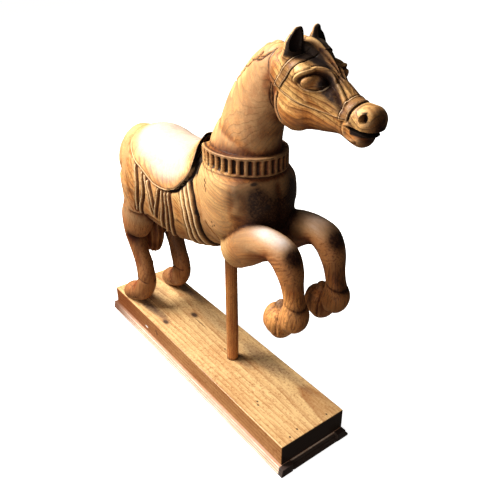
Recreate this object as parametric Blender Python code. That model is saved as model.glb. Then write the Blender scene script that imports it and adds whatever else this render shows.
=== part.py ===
"""A carved wooden carousel horse on a dowel pole, standing on a block over a moulded plinth frame.

Metres, +Z up. The horse faces +X and its right side is -Y. Its two sides are carved alike, so its forms
are given for one side and mirrored. Everything is drawn around the middle of the plinth, then set back by
SET_BACK, which brings the middle of the whole figure's underside to the origin.
"""

import math

import bpy
import numpy as np
from mathutils import Vector
from mathutils.bvhtree import BVHTree

# Driving dimensions
BLOCK_LENGTH = 0.783
BLOCK_WIDTH = 0.184
BLOCK_HEIGHT = 0.054
FRAME_HEIGHT = 0.022
FRAME_WIDTH = 0.034
SIDE_PROUD = 0.010
FRONT_PROUD = 0.013
BACK_PROUD = 0.010
FRAME_JOINT = 0.003
REEDS = 4
LIP_HEIGHT = 0.007
LIP_EASE = 0.0015
EDGE_ROUNDING = 0.002
POLE_RADIUS = 0.015
POLE_X = 0.087
POLE_IN_BLOCK = 0.025
POLE_TOP = 0.430
GAP = 0.0003
SET_BACK = 0.0425

BLOCK_TOP = FRAME_HEIGHT + BLOCK_HEIGHT

# Fineness of the horse's surface
RING_SIDES = 28
RING_STEP = 0.008
VOXEL = 0.003
FORM_BLEND = 10
EDGE_BLEND = 2
HORSE_TRIANGLES = 9000
DETAIL_LEVELS = 5
DETAIL_FACTOR = 0.0005

# The barrel: x, y, z, half width across, half depth, egg
BARREL = [
    (-0.292, 0, 0.503, 0.073, 0.099, 0.03),
    (-0.250, 0, 0.494, 0.090, 0.117, 0.03),
    (-0.180, 0, 0.486, 0.093, 0.132, 0.05),
    (-0.090, 0, 0.484, 0.090, 0.126, 0.0),
    (0.000, 0, 0.500, 0.086, 0.115, 0.0),
    (0.080, 0, 0.528, 0.086, 0.111, 0.0),
    (0.140, 0, 0.541, 0.088, 0.113, 0.0),
    (0.180, 0, 0.550, 0.081, 0.098, 0.0),
]

# The collar, an upright fluted ring around the foot of the neck
COLLAR_X = 0.143
COLLAR_BACK = 0.090
COLLAR_HALF_LENGTH = 0.101
COLLAR_HALF_WIDTH = 0.080
COLLAR_BOTTOM = 0.624
COLLAR_TOP = 0.662
COLLAR_BEAD = 0.006
COLLAR_FLUTES = 34
FLUTE_DEPTH = 0.0045

# Places on the barrel are (x, degrees around it from the ridge of the back); this is the size of a degree
DEGREE = 0.002

# The saddle's rim on one side, from its back over the flap to the front arch
SADDLE_RIM = [
    (-0.262, 20),
    (-0.240, 38),
    (-0.192, 54),
    (-0.147, 60),
    (-0.110, 66),
    (-0.070, 71),
    (-0.028, 72),
    (0.009, 67),
    (0.035, 58),
    (0.050, 47),
    (0.048, 33),
    (0.030, 17),
    (0.012, 0),
]
SADDLE_BACK = SADDLE_RIM[0][0]
POMMEL_X = 0.010
SADDLE_COLUMNS = 21


# ---------------------------------------------------------------- curves and closed shapes


def smooth_rows(rows, step):
    """A centripetal Catmull-Rom curve through every column of the rows, about step metres apart."""
    rows = np.array(rows, float)
    rows = np.vstack([2 * rows[0] - rows[1], rows, 2 * rows[-1] - rows[-2]])
    out = []
    for k in range(1, len(rows) - 2):
        p0, p1, p2, p3 = rows[k - 1 : k + 3]
        t1 = np.linalg.norm((p1 - p0)[:3]) ** 0.5
        t2 = t1 + np.linalg.norm((p2 - p1)[:3]) ** 0.5
        t3 = t2 + np.linalg.norm((p3 - p2)[:3]) ** 0.5
        count = max(2, round(float(np.linalg.norm((p2 - p1)[:3])) / step))
        for t in np.linspace(t1, t2, count, endpoint=False):
            a1 = (t1 - t) / t1 * p0 + t / t1 * p1
            a2 = (t2 - t) / (t2 - t1) * p1 + (t - t1) / (t2 - t1) * p2
            a3 = (t3 - t) / (t3 - t2) * p2 + (t - t2) / (t3 - t2) * p3
            b1 = (t2 - t) / t2 * a1 + t / t2 * a2
            b2 = (t3 - t) / (t3 - t1) * a2 + (t - t1) / (t3 - t1) * a3
            out.append((t2 - t) / (t2 - t1) * b1 + (t - t1) / (t2 - t1) * b2)
    out.append(rows[-2])
    return np.array(out)


def outward(points, faces):
    """The same closed shape with its faces pointing out."""
    volume = 0.0
    for face in faces:
        for j, k in zip(face[1:], face[2:]):
            volume += np.dot(points[face[0]], np.cross(points[j], points[k]))
    if volume < 0:
        faces = [tuple(reversed(face)) for face in faces]
    return points, faces


def stack(loops):
    """A closed solid through equal loops of points, one after the other."""
    sides = len(loops[0])
    last = len(loops) - 1
    faces = []
    for i in range(last):
        for k in range(sides):
            a, b = i * sides + k, i * sides + (k + 1) % sides
            faces.append((a, a + sides, b + sides, b))
    faces.append(tuple(range(sides)))
    faces.append(tuple(last * sides + k for k in reversed(range(sides))))
    return outward(np.vstack(loops), faces)


def limb(stations, caps=(0.6, 0.6), square=1.0):
    """A closed round form along a line in the horse's length and height.

    A station is x, y, z, half width across the horse, half depth in the line's own plane, and egg, the
    share by which the section is wider on its lower side. Each end is domed by caps times its own half
    depth.
    """
    rows = smooth_rows(stations, RING_STEP)
    along = np.gradient(rows[:, :3], axis=0)
    along /= np.linalg.norm(along, axis=1)[:, None]
    rings = []
    dome = [math.pi / 2 * k / 4 for k in (3.9, 3.4, 2.6, 1.5)]
    for angle in dome:
        row = rows[0].copy()
        row[:3] -= along[0] * math.sin(angle) * caps[0] * row[4]
        row[3:5] *= math.cos(angle)
        rings.append((row, along[0]))
    rings += list(zip(rows, along))
    for angle in reversed(dome):
        row = rows[-1].copy()
        row[:3] += along[-1] * math.sin(angle) * caps[1] * row[4]
        row[3:5] *= math.cos(angle)
        rings.append((row, along[-1]))
    side = np.array([0.0, 1.0, 0.0])
    loops = []
    for row, way in rings:
        up = np.cross(way, side)
        up /= np.linalg.norm(up)
        loop = []
        for k in range(RING_SIDES):
            turn = 2 * math.pi * k / RING_SIDES
            c, s = math.cos(turn), math.sin(turn)
            c = math.copysign(abs(c) ** square, c)
            s = math.copysign(abs(s) ** square, s)
            loop.append(row[:3] + side * c * row[3] * (1 - row[5] * s) + up * s * row[4])
        loops.append(np.array(loop))
    return stack(loops)


def plate(top, bottom):
    """A closed solid between two equal grids of points, whose borders are joined."""
    rows, columns = top.shape[:2]
    count = rows * columns
    faces = []
    for i in range(rows - 1):
        for j in range(columns - 1):
            a = i * columns + j
            quad = (a, a + columns, a + columns + 1, a + 1)
            faces.append(quad)
            faces.append(tuple(count + v for v in reversed(quad)))
    border = [j for j in range(columns)]
    border += [i * columns + columns - 1 for i in range(1, rows)]
    border += [(rows - 1) * columns + j for j in reversed(range(columns - 1))]
    border += [i * columns for i in reversed(range(1, rows - 1))]
    for a, b in zip(border, border[1:] + border[:1]):
        faces.append((a, b, count + b, count + a))
    return outward(np.vstack([top.reshape(-1, 3), bottom.reshape(-1, 3)]), faces)


def mirrored(shape):
    points, faces = shape
    return points * (1, -1, 1), [tuple(reversed(f)) for f in faces]


def pair(shape):
    return [shape, mirrored(shape)]


# ---------------------------------------------------------------- the horse's forms


def barrel():
    return limb(BARREL, (0.7, 0.5))


def breast():
    """The chest and withers, which carry the collar."""
    return limb(
        [
            (0.146, 0, 0.640, 0.072, 0.073, 0.0),
            (0.146, 0, 0.618, 0.088, 0.098, 0.0),
            (0.146, 0, 0.590, 0.096, 0.109, 0.0),
            (0.146, 0, 0.545, 0.095, 0.112, 0.0),
            (0.146, 0, 0.505, 0.092, 0.107, 0.0),
        ],
        (0.1, 0.5),
    )


def neck():
    return limb(
        [
            (0.124, 0, 0.600, 0.060, 0.084, 0.15),
            (0.146, 0, 0.665, 0.055, 0.080, 0.20),
            (0.172, 0, 0.735, 0.045, 0.072, 0.25),
            (0.201, 0, 0.783, 0.038, 0.062, 0.25),
            (0.235, 0, 0.820, 0.034, 0.052, 0.15),
            (0.275, 0, 0.832, 0.034, 0.042, 0.1),
        ],
        (0.5, 0.5),
    )


def head():
    skull = limb(
        [
            (0.262, 0, 0.832, 0.037, 0.040, -0.05),
            (0.300, 0, 0.827, 0.043, 0.050, -0.08),
            (0.345, 0, 0.818, 0.041, 0.046, -0.10),
            (0.390, 0, 0.803, 0.029, 0.036, -0.05),
            (0.430, 0, 0.793, 0.025, 0.026, 0.0),
            (0.468, 0, 0.789, 0.027, 0.026, 0.0),
        ],
        (0.5, 0.7),
        0.92,
    )
    lower_jaw = limb(
        [
            (0.330, 0, 0.785, 0.033, 0.041, 0.0),
            (0.375, 0, 0.783, 0.028, 0.033, 0.0),
            (0.415, 0, 0.776, 0.022, 0.022, 0.0),
            (0.438, 0, 0.767, 0.021, 0.020, 0.0),
            (0.455, 0, 0.761, 0.022, 0.017, 0.0),
        ],
        (0.5, 0.7),
    )
    cheek = limb(
        [
            (0.287, 0.014, 0.790, 0.024, 0.049, 0.0),
            (0.314, 0.016, 0.785, 0.024, 0.048, 0.0),
        ],
        (0.6, 0.9),
    )
    brow = limb(
        [
            (0.325, 0.033, 0.849, 0.016, 0.015, 0.0),
            (0.355, 0.034, 0.8395, 0.018, 0.017, 0.0),
        ],
        (0.8, 0.8),
    )
    forelock = limb(
        [
            (0.296, 0.004, 0.878, 0.020, 0.010, 0.0),
            (0.322, 0.010, 0.878, 0.022, 0.012, 0.0),
            (0.345, 0.010, 0.869, 0.016, 0.010, 0.0),
            (0.366, 0.007, 0.858, 0.009, 0.007, 0.0),
            (0.386, 0.005, 0.846, 0.003, 0.004, 0.0),
        ],
        (0.5, 0.5),
    )
    return [skull, lower_jaw, forelock] + pair(cheek) + pair(brow)


def turned(shape, angle, place):
    """The shape turned about the upright axis, then moved to its place."""
    points, faces = shape
    c, s = math.cos(angle), math.sin(angle)
    turn = np.array([[c, -s, 0], [s, c, 0], [0, 0, 1]])
    return points @ turn.T + np.array(place), faces


EAR_TURN = math.radians(18)
EAR_PLACE = (0.306, 0.026, 0.0)


def ears():
    """Upright cupped ears, their hollows turned forward and outward."""
    ear = limb(
        [
            (0.002, 0.004, 0.846, 0.020, 0.018, 0.0),
            (0.004, 0.002, 0.872, 0.019, 0.015, 0.0),
            (0.007, -0.002, 0.892, 0.016, 0.011, 0.0),
            (0.011, -0.007, 0.907, 0.009, 0.006, 0.0),
        ],
        (0.5, 1.1),
    )
    return pair(turned(ear, EAR_TURN, EAR_PLACE))


def ear_hollows():
    hollow = limb(
        [
            (0.018, 0.001, 0.879, 0.012, 0.010, 0.0),
            (0.018, -0.001, 0.890, 0.013, 0.010, 0.0),
            (0.018, -0.005, 0.904, 0.008, 0.007, 0.0),
        ],
        (0.6, 0.8),
    )
    return pair(turned(hollow, EAR_TURN, EAR_PLACE))


def forelegs():
    arm = limb(
        [
            (0.179, 0.050, 0.456, 0.037, 0.043, 0.0),
            (0.222, 0.054, 0.485, 0.037, 0.044, 0.0),
            (0.270, 0.055, 0.509, 0.033, 0.036, 0.0),
            (0.312, 0.055, 0.518, 0.030, 0.029, 0.0),
            (0.337, 0.055, 0.511, 0.030, 0.030, 0.0),
            (0.354, 0.055, 0.487, 0.027, 0.027, 0.0),
            (0.363, 0.055, 0.455, 0.022, 0.021, 0.0),
            (0.369, 0.055, 0.425, 0.022, 0.021, 0.0),
            (0.373, 0.055, 0.400, 0.028, 0.029, 0.0),
            (0.368, 0.055, 0.382, 0.028, 0.028, 0.0),
        ],
        (0.7, 0.75),
    )
    toe = limb(
        [
            (0.351, 0.055, 0.375, 0.026, 0.027, 0.0),
            (0.334, 0.055, 0.346, 0.026, 0.023, 0.0),
        ],
        (0.5, 0.85),
    )
    heel = limb(
        [
            (0.346, 0.055, 0.372, 0.026, 0.028, 0.0),
            (0.330, 0.055, 0.365, 0.030, 0.033, 0.0),
            (0.314, 0.055, 0.360, 0.030, 0.033, 0.0),
        ],
        (0.5, 0.4),
    )
    bulb = limb(
        [
            (0.340, 0.055, 0.395, 0.012, 0.010, 0.0),
            (0.329, 0.055, 0.401, 0.013, 0.011, 0.0),
        ],
        (0.8, 0.8),
    )
    return pair(arm) + pair(toe) + pair(heel) + pair(bulb)


def hindlegs():
    leg = limb(
        [
            (-0.235, 0.052, 0.470, 0.042, 0.080, 0.0),
            (-0.245, 0.055, 0.400, 0.036, 0.059, 0.0),
            (-0.274, 0.058, 0.340, 0.032, 0.056, 0.0),
            (-0.288, 0.058, 0.305, 0.027, 0.033, 0.0),
            (-0.274, 0.057, 0.265, 0.025, 0.025, 0.0),
            (-0.256, 0.056, 0.220, 0.024, 0.024, 0.0),
            (-0.246, 0.057, 0.185, 0.025, 0.026, 0.0),
            (-0.247, 0.058, 0.155, 0.027, 0.028, 0.0),
            (-0.266, 0.060, 0.124, 0.028, 0.030, 0.0),
            (-0.299, 0.062, 0.103, 0.031, 0.029, 0.0),
            (-0.327, 0.064, 0.092, 0.031, 0.027, 0.0),
        ],
        (0.5, 0.55),
    )
    return pair(leg)


def tail():
    return [
        limb(
            [
                (-0.315, 0, 0.520, 0.020, 0.020, 0.0),
                (-0.335, 0, 0.440, 0.026, 0.026, 0.0),
                (-0.320, 0, 0.350, 0.034, 0.036, 0.0),
                (-0.294, 0, 0.285, 0.032, 0.036, 0.0),
                (-0.293, 0, 0.241, 0.024, 0.025, 0.0),
            ],
            (0.5, 0.9),
        )
    ]


def collar():
    """A star-shaped stack: plain beads at its foot and rim, and flutes between them."""
    count = COLLAR_FLUTES * 8
    turn = np.arange(count) * 2 * math.pi / count
    away = np.stack([np.cos(turn), np.sin(turn)], 1)
    half = np.array([COLLAR_HALF_LENGTH, COLLAR_HALF_WIDTH])
    flute = np.clip(1.6 * np.cos(turn * COLLAR_FLUTES) + 0.3, 0, 1)
    levels = [
        (COLLAR_BOTTOM - 0.004, -0.004, 0),
        (COLLAR_BOTTOM, 0.0, 0),
        (COLLAR_BOTTOM + COLLAR_BEAD - 0.001, -0.0005, 0),
        (COLLAR_BOTTOM + COLLAR_BEAD, -0.0005, 1),
        (COLLAR_TOP - COLLAR_BEAD, -0.002, 1),
        (COLLAR_TOP - COLLAR_BEAD + 0.001, -0.002, 0),
        (COLLAR_TOP - 0.001, -0.0025, 0),
        (COLLAR_TOP, -0.004, 0),
    ]
    loops = []
    for z, grown, fluted in levels:
        edge = away * (half + grown) - away * (flute * fluted * FLUTE_DEPTH)[:, None]
        x = np.maximum(edge[:, 0] + COLLAR_X, COLLAR_BACK)
        loops.append(np.column_stack([x, edge[:, 1], np.full(count, z)]))
    return stack(loops[::-1])


def barrel_centre(x):
    rows = np.array(BARREL)
    return np.interp(x, rows[:, 0], rows[:, 2])


def saddle(body):
    """A saddle carved in the wood: a shell over the back whose front arch stands clear of the withers."""
    tree = BVHTree.FromPolygons([v.co for v in body.vertices], [p.vertices for p in body.polygons])
    rim = np.array([(x, 0, degrees * DEGREE) for x, degrees in SADDLE_RIM])
    rim = smooth_rows(rim, 0.008)
    top = []
    bottom = []
    for k, (x_rim, _, across) in enumerate(rim):
        along = k / (len(rim) - 1)
        x_spine = SADDLE_BACK + (POMMEL_X - SADDLE_BACK) * along
        front = np.clip((along - 0.76) / 0.22, 0, 1)
        flap = np.clip((along - 0.45) / 0.2, 0, 1)
        rise = 0.007 + 0.003 * flap + 0.020 * front * front
        back = np.clip(along / 0.25, 0, 1)
        top_row = []
        bottom_row = []
        for t in np.linspace(-1, 1, SADDLE_COLUMNS):
            share = abs(t)
            x = x_spine + (x_rim - x_spine) * share
            angle = math.radians(across / DEGREE * t)
            z = float(barrel_centre(x))
            way = Vector((0, math.sin(angle), math.cos(angle)))
            hit = tree.ray_cast(Vector((x, 0, z)), way)[0]
            near_front = np.clip((x - x_rim + 0.020) / 0.012, 0, 1)
            lift = 0.001 + (rise - 0.001) * back
            under = -0.010 + near_front * (front * (rise + 0.003) + (1 - front) * flap * 0.010)
            top_row.append(hit + way * lift)
            bottom_row.append(hit + way * under)
        top.append(top_row)
        bottom.append(bottom_row)
    return plate(np.array(top), np.array(bottom))


# ---------------------------------------------------------------- carving of the horse's surface


def line_distance(u, v, line):
    """Each place's distance to a line of (u, v) points."""
    best = np.full(len(u), 1.0)
    for (u0, v0), (u1, v1) in zip(line, line[1:]):
        du, dv = u1 - u0, v1 - v0
        share = np.clip(((u - u0) * du + (v - v0) * dv) / (du * du + dv * dv), 0, 1)
        best = np.minimum(best, np.hypot(u - u0 - share * du, v - v0 - share * dv))
    return best


def ridge(distance, half_width):
    return np.exp(-((distance / half_width) ** 2))


def step(value, width):
    """0 below -width/2, 1 above width/2, smooth between."""
    share = np.clip(value / width + 0.5, 0, 1)
    return share * share * (3 - 2 * share)


# Folds of the saddle cloth, each as (x, degrees) from the saddle's edge to the hem
FOLDS = [
    [(-0.300, 95), (-0.283, 112), (-0.240, 122), (-0.216, 134)],
    [(-0.188, 50), (-0.168, 86), (-0.190, 122), (-0.200, 132)],
    [(-0.146, 60), (-0.142, 94), (-0.172, 122), (-0.190, 136)],
    [(-0.135, 62), (-0.114, 89), (-0.113, 121)],
    [(-0.119, 70), (-0.103, 91), (-0.099, 112)],
    [(-0.071, 72), (-0.079, 94), (-0.106, 123)],
    [(-0.054, 72), (-0.056, 101), (-0.078, 125), (-0.096, 140)],
    [(-0.041, 72), (-0.040, 106), (-0.062, 132), (-0.092, 149)],
    [(-0.028, 71), (-0.024, 107), (-0.040, 130), (-0.069, 152)],
]
# The hem, as (x, z), and the girth strap's edges, as (x, degrees)
HEM = [
    (-0.400, 0.398),
    (-0.190, 0.398),
    (-0.150, 0.416),
    (-0.115, 0.418),
    (-0.085, 0.396),
    (-0.062, 0.380),
]
GIRTH_BACK = [(0.012, 60), (0.030, 98), (0.026, 128), (-0.008, 158), (-0.012, 180)]
GIRTH_FRONT = [(0.056, 55), (0.078, 79), (0.089, 106), (0.078, 141), (0.066, 180)]
CLOTH_FROM = 52
CLOTH_THICKNESS = 0.003
FOLD_HEIGHT = 0.0035
FOLD_HALF_WIDTH = 0.0045
GIRTH_RIDGES = 3
GIRTH_THICKNESS = 0.003
GIRTH_RIDGE_HEIGHT = 0.003
GIRTH_EDGE_DEPTH = 0.003
SADDLE_FRONT_DEPTH = 0.004


def carve_cloth(points):
    """The cloth below the saddle: its folds and hem, and the girth strap in front of it."""
    x, y, z = points.T
    across = np.degrees(np.arctan2(np.abs(y), z - barrel_centre(x))) * DEGREE
    hem_x, hem_z = np.array(HEM).T
    hem = np.interp(x, hem_x, hem_z, right=-1.0)
    back_x, back_at = np.array(GIRTH_BACK).T
    front_x, front_at = np.array(GIRTH_FRONT).T
    girth_back = np.interp(across / DEGREE, back_at, back_x)
    girth_front = np.interp(across / DEGREE, front_at, front_x)
    on_side = step(across / DEGREE - CLOTH_FROM, 12)
    cloth = on_side * step(z - hem, 0.003) * step(girth_back - x, 0.003)
    height = cloth * CLOTH_THICKNESS
    for fold in FOLDS:
        line = [(fx, degrees * DEGREE) for fx, degrees in fold]
        height += cloth * FOLD_HEIGHT * ridge(line_distance(x, across, line), FOLD_HALF_WIDTH)
    width = girth_front - girth_back
    place = (x - girth_back) / width
    strap = step(x - girth_back, 0.003) * step(girth_front - x, 0.003) * on_side
    ridges = 0.5 - 0.5 * np.cos(place * 2 * math.pi * GIRTH_RIDGES)
    height += strap * (GIRTH_THICKNESS + GIRTH_RIDGE_HEIGHT * ridges)
    for edge in (girth_back, girth_front):
        height -= on_side * GIRTH_EDGE_DEPTH * ridge(x - edge, 0.004)
    before_saddle = [(rim_x + 0.006, degrees * DEGREE) for rim_x, degrees in SADDLE_RIM[6:11]]
    height -= SADDLE_FRONT_DEPTH * ridge(line_distance(x, across, before_saddle), 0.005)
    return height


# The bridle's bands, the groove before its noseband and the jaw's rear edge, as (x, z)
BROWBAND = [(0.279, 0.813), (0.326, 0.872)]
NOSEBAND = [(0.428, 0.790), (0.434, 0.830)]
MUZZLE_GROOVE = [(0.440, 0.790), (0.445, 0.830)]
JAW_EDGE = [(0.268, 0.806), (0.263, 0.785), (0.270, 0.762), (0.284, 0.748)]
BAND_HALF_WIDTH = 0.0065
BROWBAND_HEIGHT = 0.003
NOSEBAND_HEIGHT = 0.002
GROOVE_DEPTH = 0.003
JAW_EDGE_DEPTH = 0.005

# The eye: its middle, half length, half height, and its plane's turn from the head's length
EYE = (0.372, 0.036, 0.836)
EYE_HALF_LENGTH = 0.0225
EYE_HALF_HEIGHT = 0.0120
EYE_TURN = math.radians(34)
EYEBALL_HEIGHT = 0.0012
SOCKET_DEPTH = 0.0030
LID_HEIGHT = 0.0035


def carve_head(points):
    """The bridle, the eyes in their sockets under the brow, and the jaw's edge."""
    x, y, z = points.T
    side = np.abs(y)
    height = np.zeros(len(x))
    on_head = step(x - 0.262, 0.01) * step(z - 0.74, 0.01)
    browband = line_distance(x, z, BROWBAND)
    band = step(BAND_HALF_WIDTH - browband, 0.003) * step(BROWBAND[1][1] - 0.004 - z, 0.006)
    height += on_head * BROWBAND_HEIGHT * band
    noseband = line_distance(x, z, NOSEBAND)
    height += on_head * NOSEBAND_HEIGHT * step(BAND_HALF_WIDTH - noseband, 0.003)
    height -= on_head * GROOVE_DEPTH * ridge(line_distance(x, z, MUZZLE_GROOVE), 0.004)
    jaw_edge = line_distance(x, z, JAW_EDGE)
    height -= JAW_EDGE_DEPTH * ridge(jaw_edge, 0.005) * step(side - 0.012, 0.008)
    eye_x, eye_y, eye_z = EYE
    c, s = math.cos(EYE_TURN), math.sin(EYE_TURN)
    along = (x - eye_x) * c - (side - eye_y) * s
    out = (x - eye_x) * s + (side - eye_y) * c
    up = z - eye_z
    near = step(0.03 - np.abs(out), 0.01)
    almond = (along / EYE_HALF_LENGTH) ** 2 + (up / EYE_HALF_HEIGHT) ** 2
    rings = np.sqrt(almond)
    height += near * EYEBALL_HEIGHT * np.sqrt(np.clip(1 - almond, 0, 1))
    height -= near * SOCKET_DEPTH * ridge(rings - 1.25, 0.25)
    height += near * LID_HEIGHT * ridge(rings - 1.8, 0.3) * step(up - 0.004, 0.012)
    return height


TAIL_X = -0.31
TAIL_LOCKS = 12
TAIL_LOCK_DEPTH = 0.0018


def carve_tail(points):
    """Long locks down the tail."""
    x, y, z = points.T
    turn = np.arctan2(y, TAIL_X - x)
    on_tail = step(0.395 - z, 0.02) * step(0.037 - np.abs(y), 0.004) * step(-0.235 - x, 0.01)
    on_tail *= step(z - 0.2, 0.02)
    return on_tail * TAIL_LOCK_DEPTH * np.cos(turn * TAIL_LOCKS + (z - 0.3) * 20)


# The top line of the neck, as (x, z)
CREST = [(0.085, 0.690), (0.120, 0.780), (0.165, 0.830), (0.225, 0.868), (0.285, 0.872)]
MANE_HEIGHT = 0.003
LOCK_HEIGHT = 0.0025
LOCK_LENGTH = 0.022


def carve_mane(points):
    """The mane lies on the left side of the neck in waved locks."""
    x, y, z = points.T
    crest = line_distance(x, z, CREST)
    on_mane = step(y - 0.004, 0.008) * step(0.050 - crest, 0.012)
    on_mane *= step(0.300 - x, 0.02) * step(z - 0.690, 0.02)
    along = x * 0.55 + z * 0.83
    locks = np.sin(along * 2 * math.pi / LOCK_LENGTH + 60 * crest)
    return on_mane * (MANE_HEIGHT + LOCK_HEIGHT * locks)


# ---------------------------------------------------------------- meshes and objects


def add_object(name, shapes, material):
    points = []
    faces = []
    for more_points, more_faces in shapes:
        start = sum(len(p) for p in points)
        points.append(more_points)
        faces += [tuple(start + i for i in face) for face in more_faces]
    mesh = bpy.data.meshes.new(name)
    mesh.from_pydata(np.vstack(points).tolist(), [], faces)
    mesh.update()
    mesh.materials.append(material)
    obj = bpy.data.objects.new(name, mesh)
    bpy.context.scene.collection.objects.link(obj)
    return obj


def add_cutter(name, shapes, material):
    cutter = add_object(name, shapes, material)
    cutter.hide_render = True
    cutter.display_type = "WIRE"
    return cutter


def fuse(obj, voxel, smoothing):
    remesh = obj.modifiers.new("fuse", "REMESH")
    remesh.mode = "VOXEL"
    remesh.voxel_size = voxel
    smooth = obj.modifiers.new("blend", "SMOOTH")
    smooth.factor = 0.5
    smooth.iterations = smoothing


def cut(obj, cutter):
    boolean = obj.modifiers.new("cut", "BOOLEAN")
    boolean.operation = "DIFFERENCE"
    boolean.solver = "EXACT"
    boolean.object = cutter


def take_mesh(obj):
    """The object's mesh with its modifiers applied; the object itself is removed."""
    graph = bpy.context.evaluated_depsgraph_get()
    mesh = bpy.data.meshes.new_from_object(obj.evaluated_get(graph))
    bpy.data.objects.remove(obj)
    return mesh


def mesh_shape(mesh):
    points = np.empty(len(mesh.vertices) * 3)
    mesh.vertices.foreach_get("co", points)
    return points.reshape(-1, 3), [tuple(p.vertices) for p in mesh.polygons]


def vertex_normals(mesh):
    normals = np.empty(len(mesh.vertices) * 3)
    mesh.vertex_normals.foreach_get("vector", normals)
    return normals.reshape(-1, 3)


# The gap between the lips runs around an oval: its middle, half length, half width, height and reach
LIPS_X = 0.455
LIPS_HALF_LENGTH = 0.026
LIPS_HALF_WIDTH = 0.024
LIPS_Z = 0.7725
LIPS_REACH = math.radians(125)
LIPS_SECTION = [(-0.012, 0.0), (0.0, 0.0050), (0.020, 0.0065), (0.020, -0.0055), (0.0, -0.0045)]


def mouth():
    """The gap between the lips, a curved slot around the front of the muzzle."""
    loops = []
    for turn in np.linspace(-LIPS_REACH, LIPS_REACH, 25):
        c, s = math.cos(turn), math.sin(turn)
        end = 1 - 0.8 * (abs(turn) / LIPS_REACH) ** 6
        z = LIPS_Z + 0.003 * (1 - c)
        loop = []
        for reach, rise in LIPS_SECTION:
            x = LIPS_X + (LIPS_HALF_LENGTH + reach) * c
            y = (LIPS_HALF_WIDTH + reach) * s
            loop.append((x, y, z + rise * end))
        loops.append(np.array(loop))
    return stack(loops)


# A nostril's middle as (x, z), and its funnel as (y, radius)
NOSTRIL = (0.468, 0.799)
NOSTRIL_FUNNEL = [(0.034, 0.0100), (0.022, 0.0075), (0.012, 0.0055)]


def nostrils():
    x, z = NOSTRIL
    loops = []
    for y, radius in NOSTRIL_FUNNEL:
        loop = []
        for k in range(16):
            turn = 2 * math.pi * k / 16
            loop.append((x + radius * math.cos(turn), y, z + radius * math.sin(turn)))
        loops.append(np.array(loop))
    return pair(stack(loops))


def horse(material):
    forms = [barrel(), breast(), neck()] + head() + ears() + forelegs() + hindlegs() + tail()
    rough = add_object("rough", forms, material)
    fuse(rough, VOXEL, FORM_BLEND)
    body = take_mesh(rough)
    carved = add_object("carved", [mesh_shape(body), collar(), saddle(body)], material)
    fuse(carved, VOXEL, EDGE_BLEND)
    ground = box((-0.45, -0.2, BLOCK_TOP - 0.05), (-0.15, 0.2, BLOCK_TOP + GAP))
    hollows = add_cutter("hollows", ear_hollows() + nostrils() + [mouth(), ground], material)
    mesh = take_mesh(carved)
    points = mesh_shape(mesh)[0]
    height = carve_cloth(points) + carve_head(points) + carve_tail(points) + carve_mane(points)
    points += vertex_normals(mesh) * height[:, None]
    mesh.vertices.foreach_set("co", points.ravel())
    mesh.update()
    obj = bpy.data.objects.new("horse", mesh)
    bpy.context.scene.collection.objects.link(obj)
    cut(obj, hollows)
    plain = obj.vertex_groups.new(name="plain")
    x, y, z = points.T
    carved_here = np.maximum.reduce([
        step(x - 0.26, 0.02) * step(z - 0.74, 0.02),
        step(z - COLLAR_BOTTOM + 0.005, 0.004) * step(COLLAR_TOP + 0.003 - z, 0.004),
        0.6 * step(np.abs(height) - 0.001, 0.001),
    ])
    for level in range(DETAIL_LEVELS):
        chosen = np.nonzero(np.round(carved_here * (DETAIL_LEVELS - 1)) == level)[0]
        plain.add(chosen.tolist(), 1 - level / DETAIL_LEVELS, "REPLACE")
    decimate = obj.modifiers.new("facets", "DECIMATE")
    decimate.ratio = HORSE_TRIANGLES / (2 * len(mesh.polygons))
    decimate.vertex_group = "plain"
    decimate.vertex_group_factor = DETAIL_FACTOR
    return obj


# ---------------------------------------------------------------- pole, block and plinth frame


def cylinder(x, y, bottom, top, radius, sides=24):
    turns = [2 * math.pi * k / sides for k in range(sides)]
    loop = [(x + radius * math.cos(a), y + radius * math.sin(a)) for a in turns]
    return stack([np.array([(*place, z) for place in loop]) for z in (top, bottom)])


def box(low, high):
    (x0, y0, z0), (x1, y1, z1) = low, high
    loop = [(x0, y0), (x1, y0), (x1, y1), (x0, y1)]
    return stack([np.array([(x, y, z) for x, y in loop]) for z in (z1, z0)])


def base_block(material):
    low = (-BLOCK_LENGTH / 2, -BLOCK_WIDTH / 2, FRAME_HEIGHT + GAP)
    high = (BLOCK_LENGTH / 2, BLOCK_WIDTH / 2, BLOCK_TOP)
    block = add_object("base_block", [box(low, high)], material)
    bevel = block.modifiers.new("worn edges", "BEVEL")
    bevel.width = EDGE_ROUNDING
    bevel.segments = 2
    return block


def cove_profile(proud):
    """A stick's section as (outward from the block's face, z): a cove falling to a rounded lip."""
    inner = proud - FRAME_WIDTH
    profile = [(inner, 0.0), (proud - LIP_EASE, 0.0), (proud, LIP_EASE)]
    profile += [(proud, LIP_HEIGHT - LIP_EASE), (proud - LIP_EASE, LIP_HEIGHT)]
    for k in range(1, 6):
        turn = math.pi / 2 * k / 5
        out = (proud - LIP_EASE) * (1 - math.sin(turn))
        profile.append((out, LIP_HEIGHT + (FRAME_HEIGHT - LIP_HEIGHT) * (1 - math.cos(turn))))
    profile.append((inner, FRAME_HEIGHT))
    return profile


def reeded_profile(proud):
    """The right stick's section: reeds one above the other, each set back a little from the one below."""
    inner = proud - FRAME_WIDTH
    radius = FRAME_HEIGHT / REEDS / 2
    profile = [(inner, 0.0)]
    for reed in range(REEDS):
        for degrees in (-78, -40, 0, 40, 78):
            turn = math.radians(degrees)
            out = proud - 0.001 * reed - 0.7 * radius * (1 - math.cos(turn))
            profile.append((out, radius * (2 * reed + 1 + math.sin(turn))))
    profile.append((profile[-1][0] - 0.001, FRAME_HEIGHT))
    profile.append((inner, FRAME_HEIGHT))
    return profile


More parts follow.
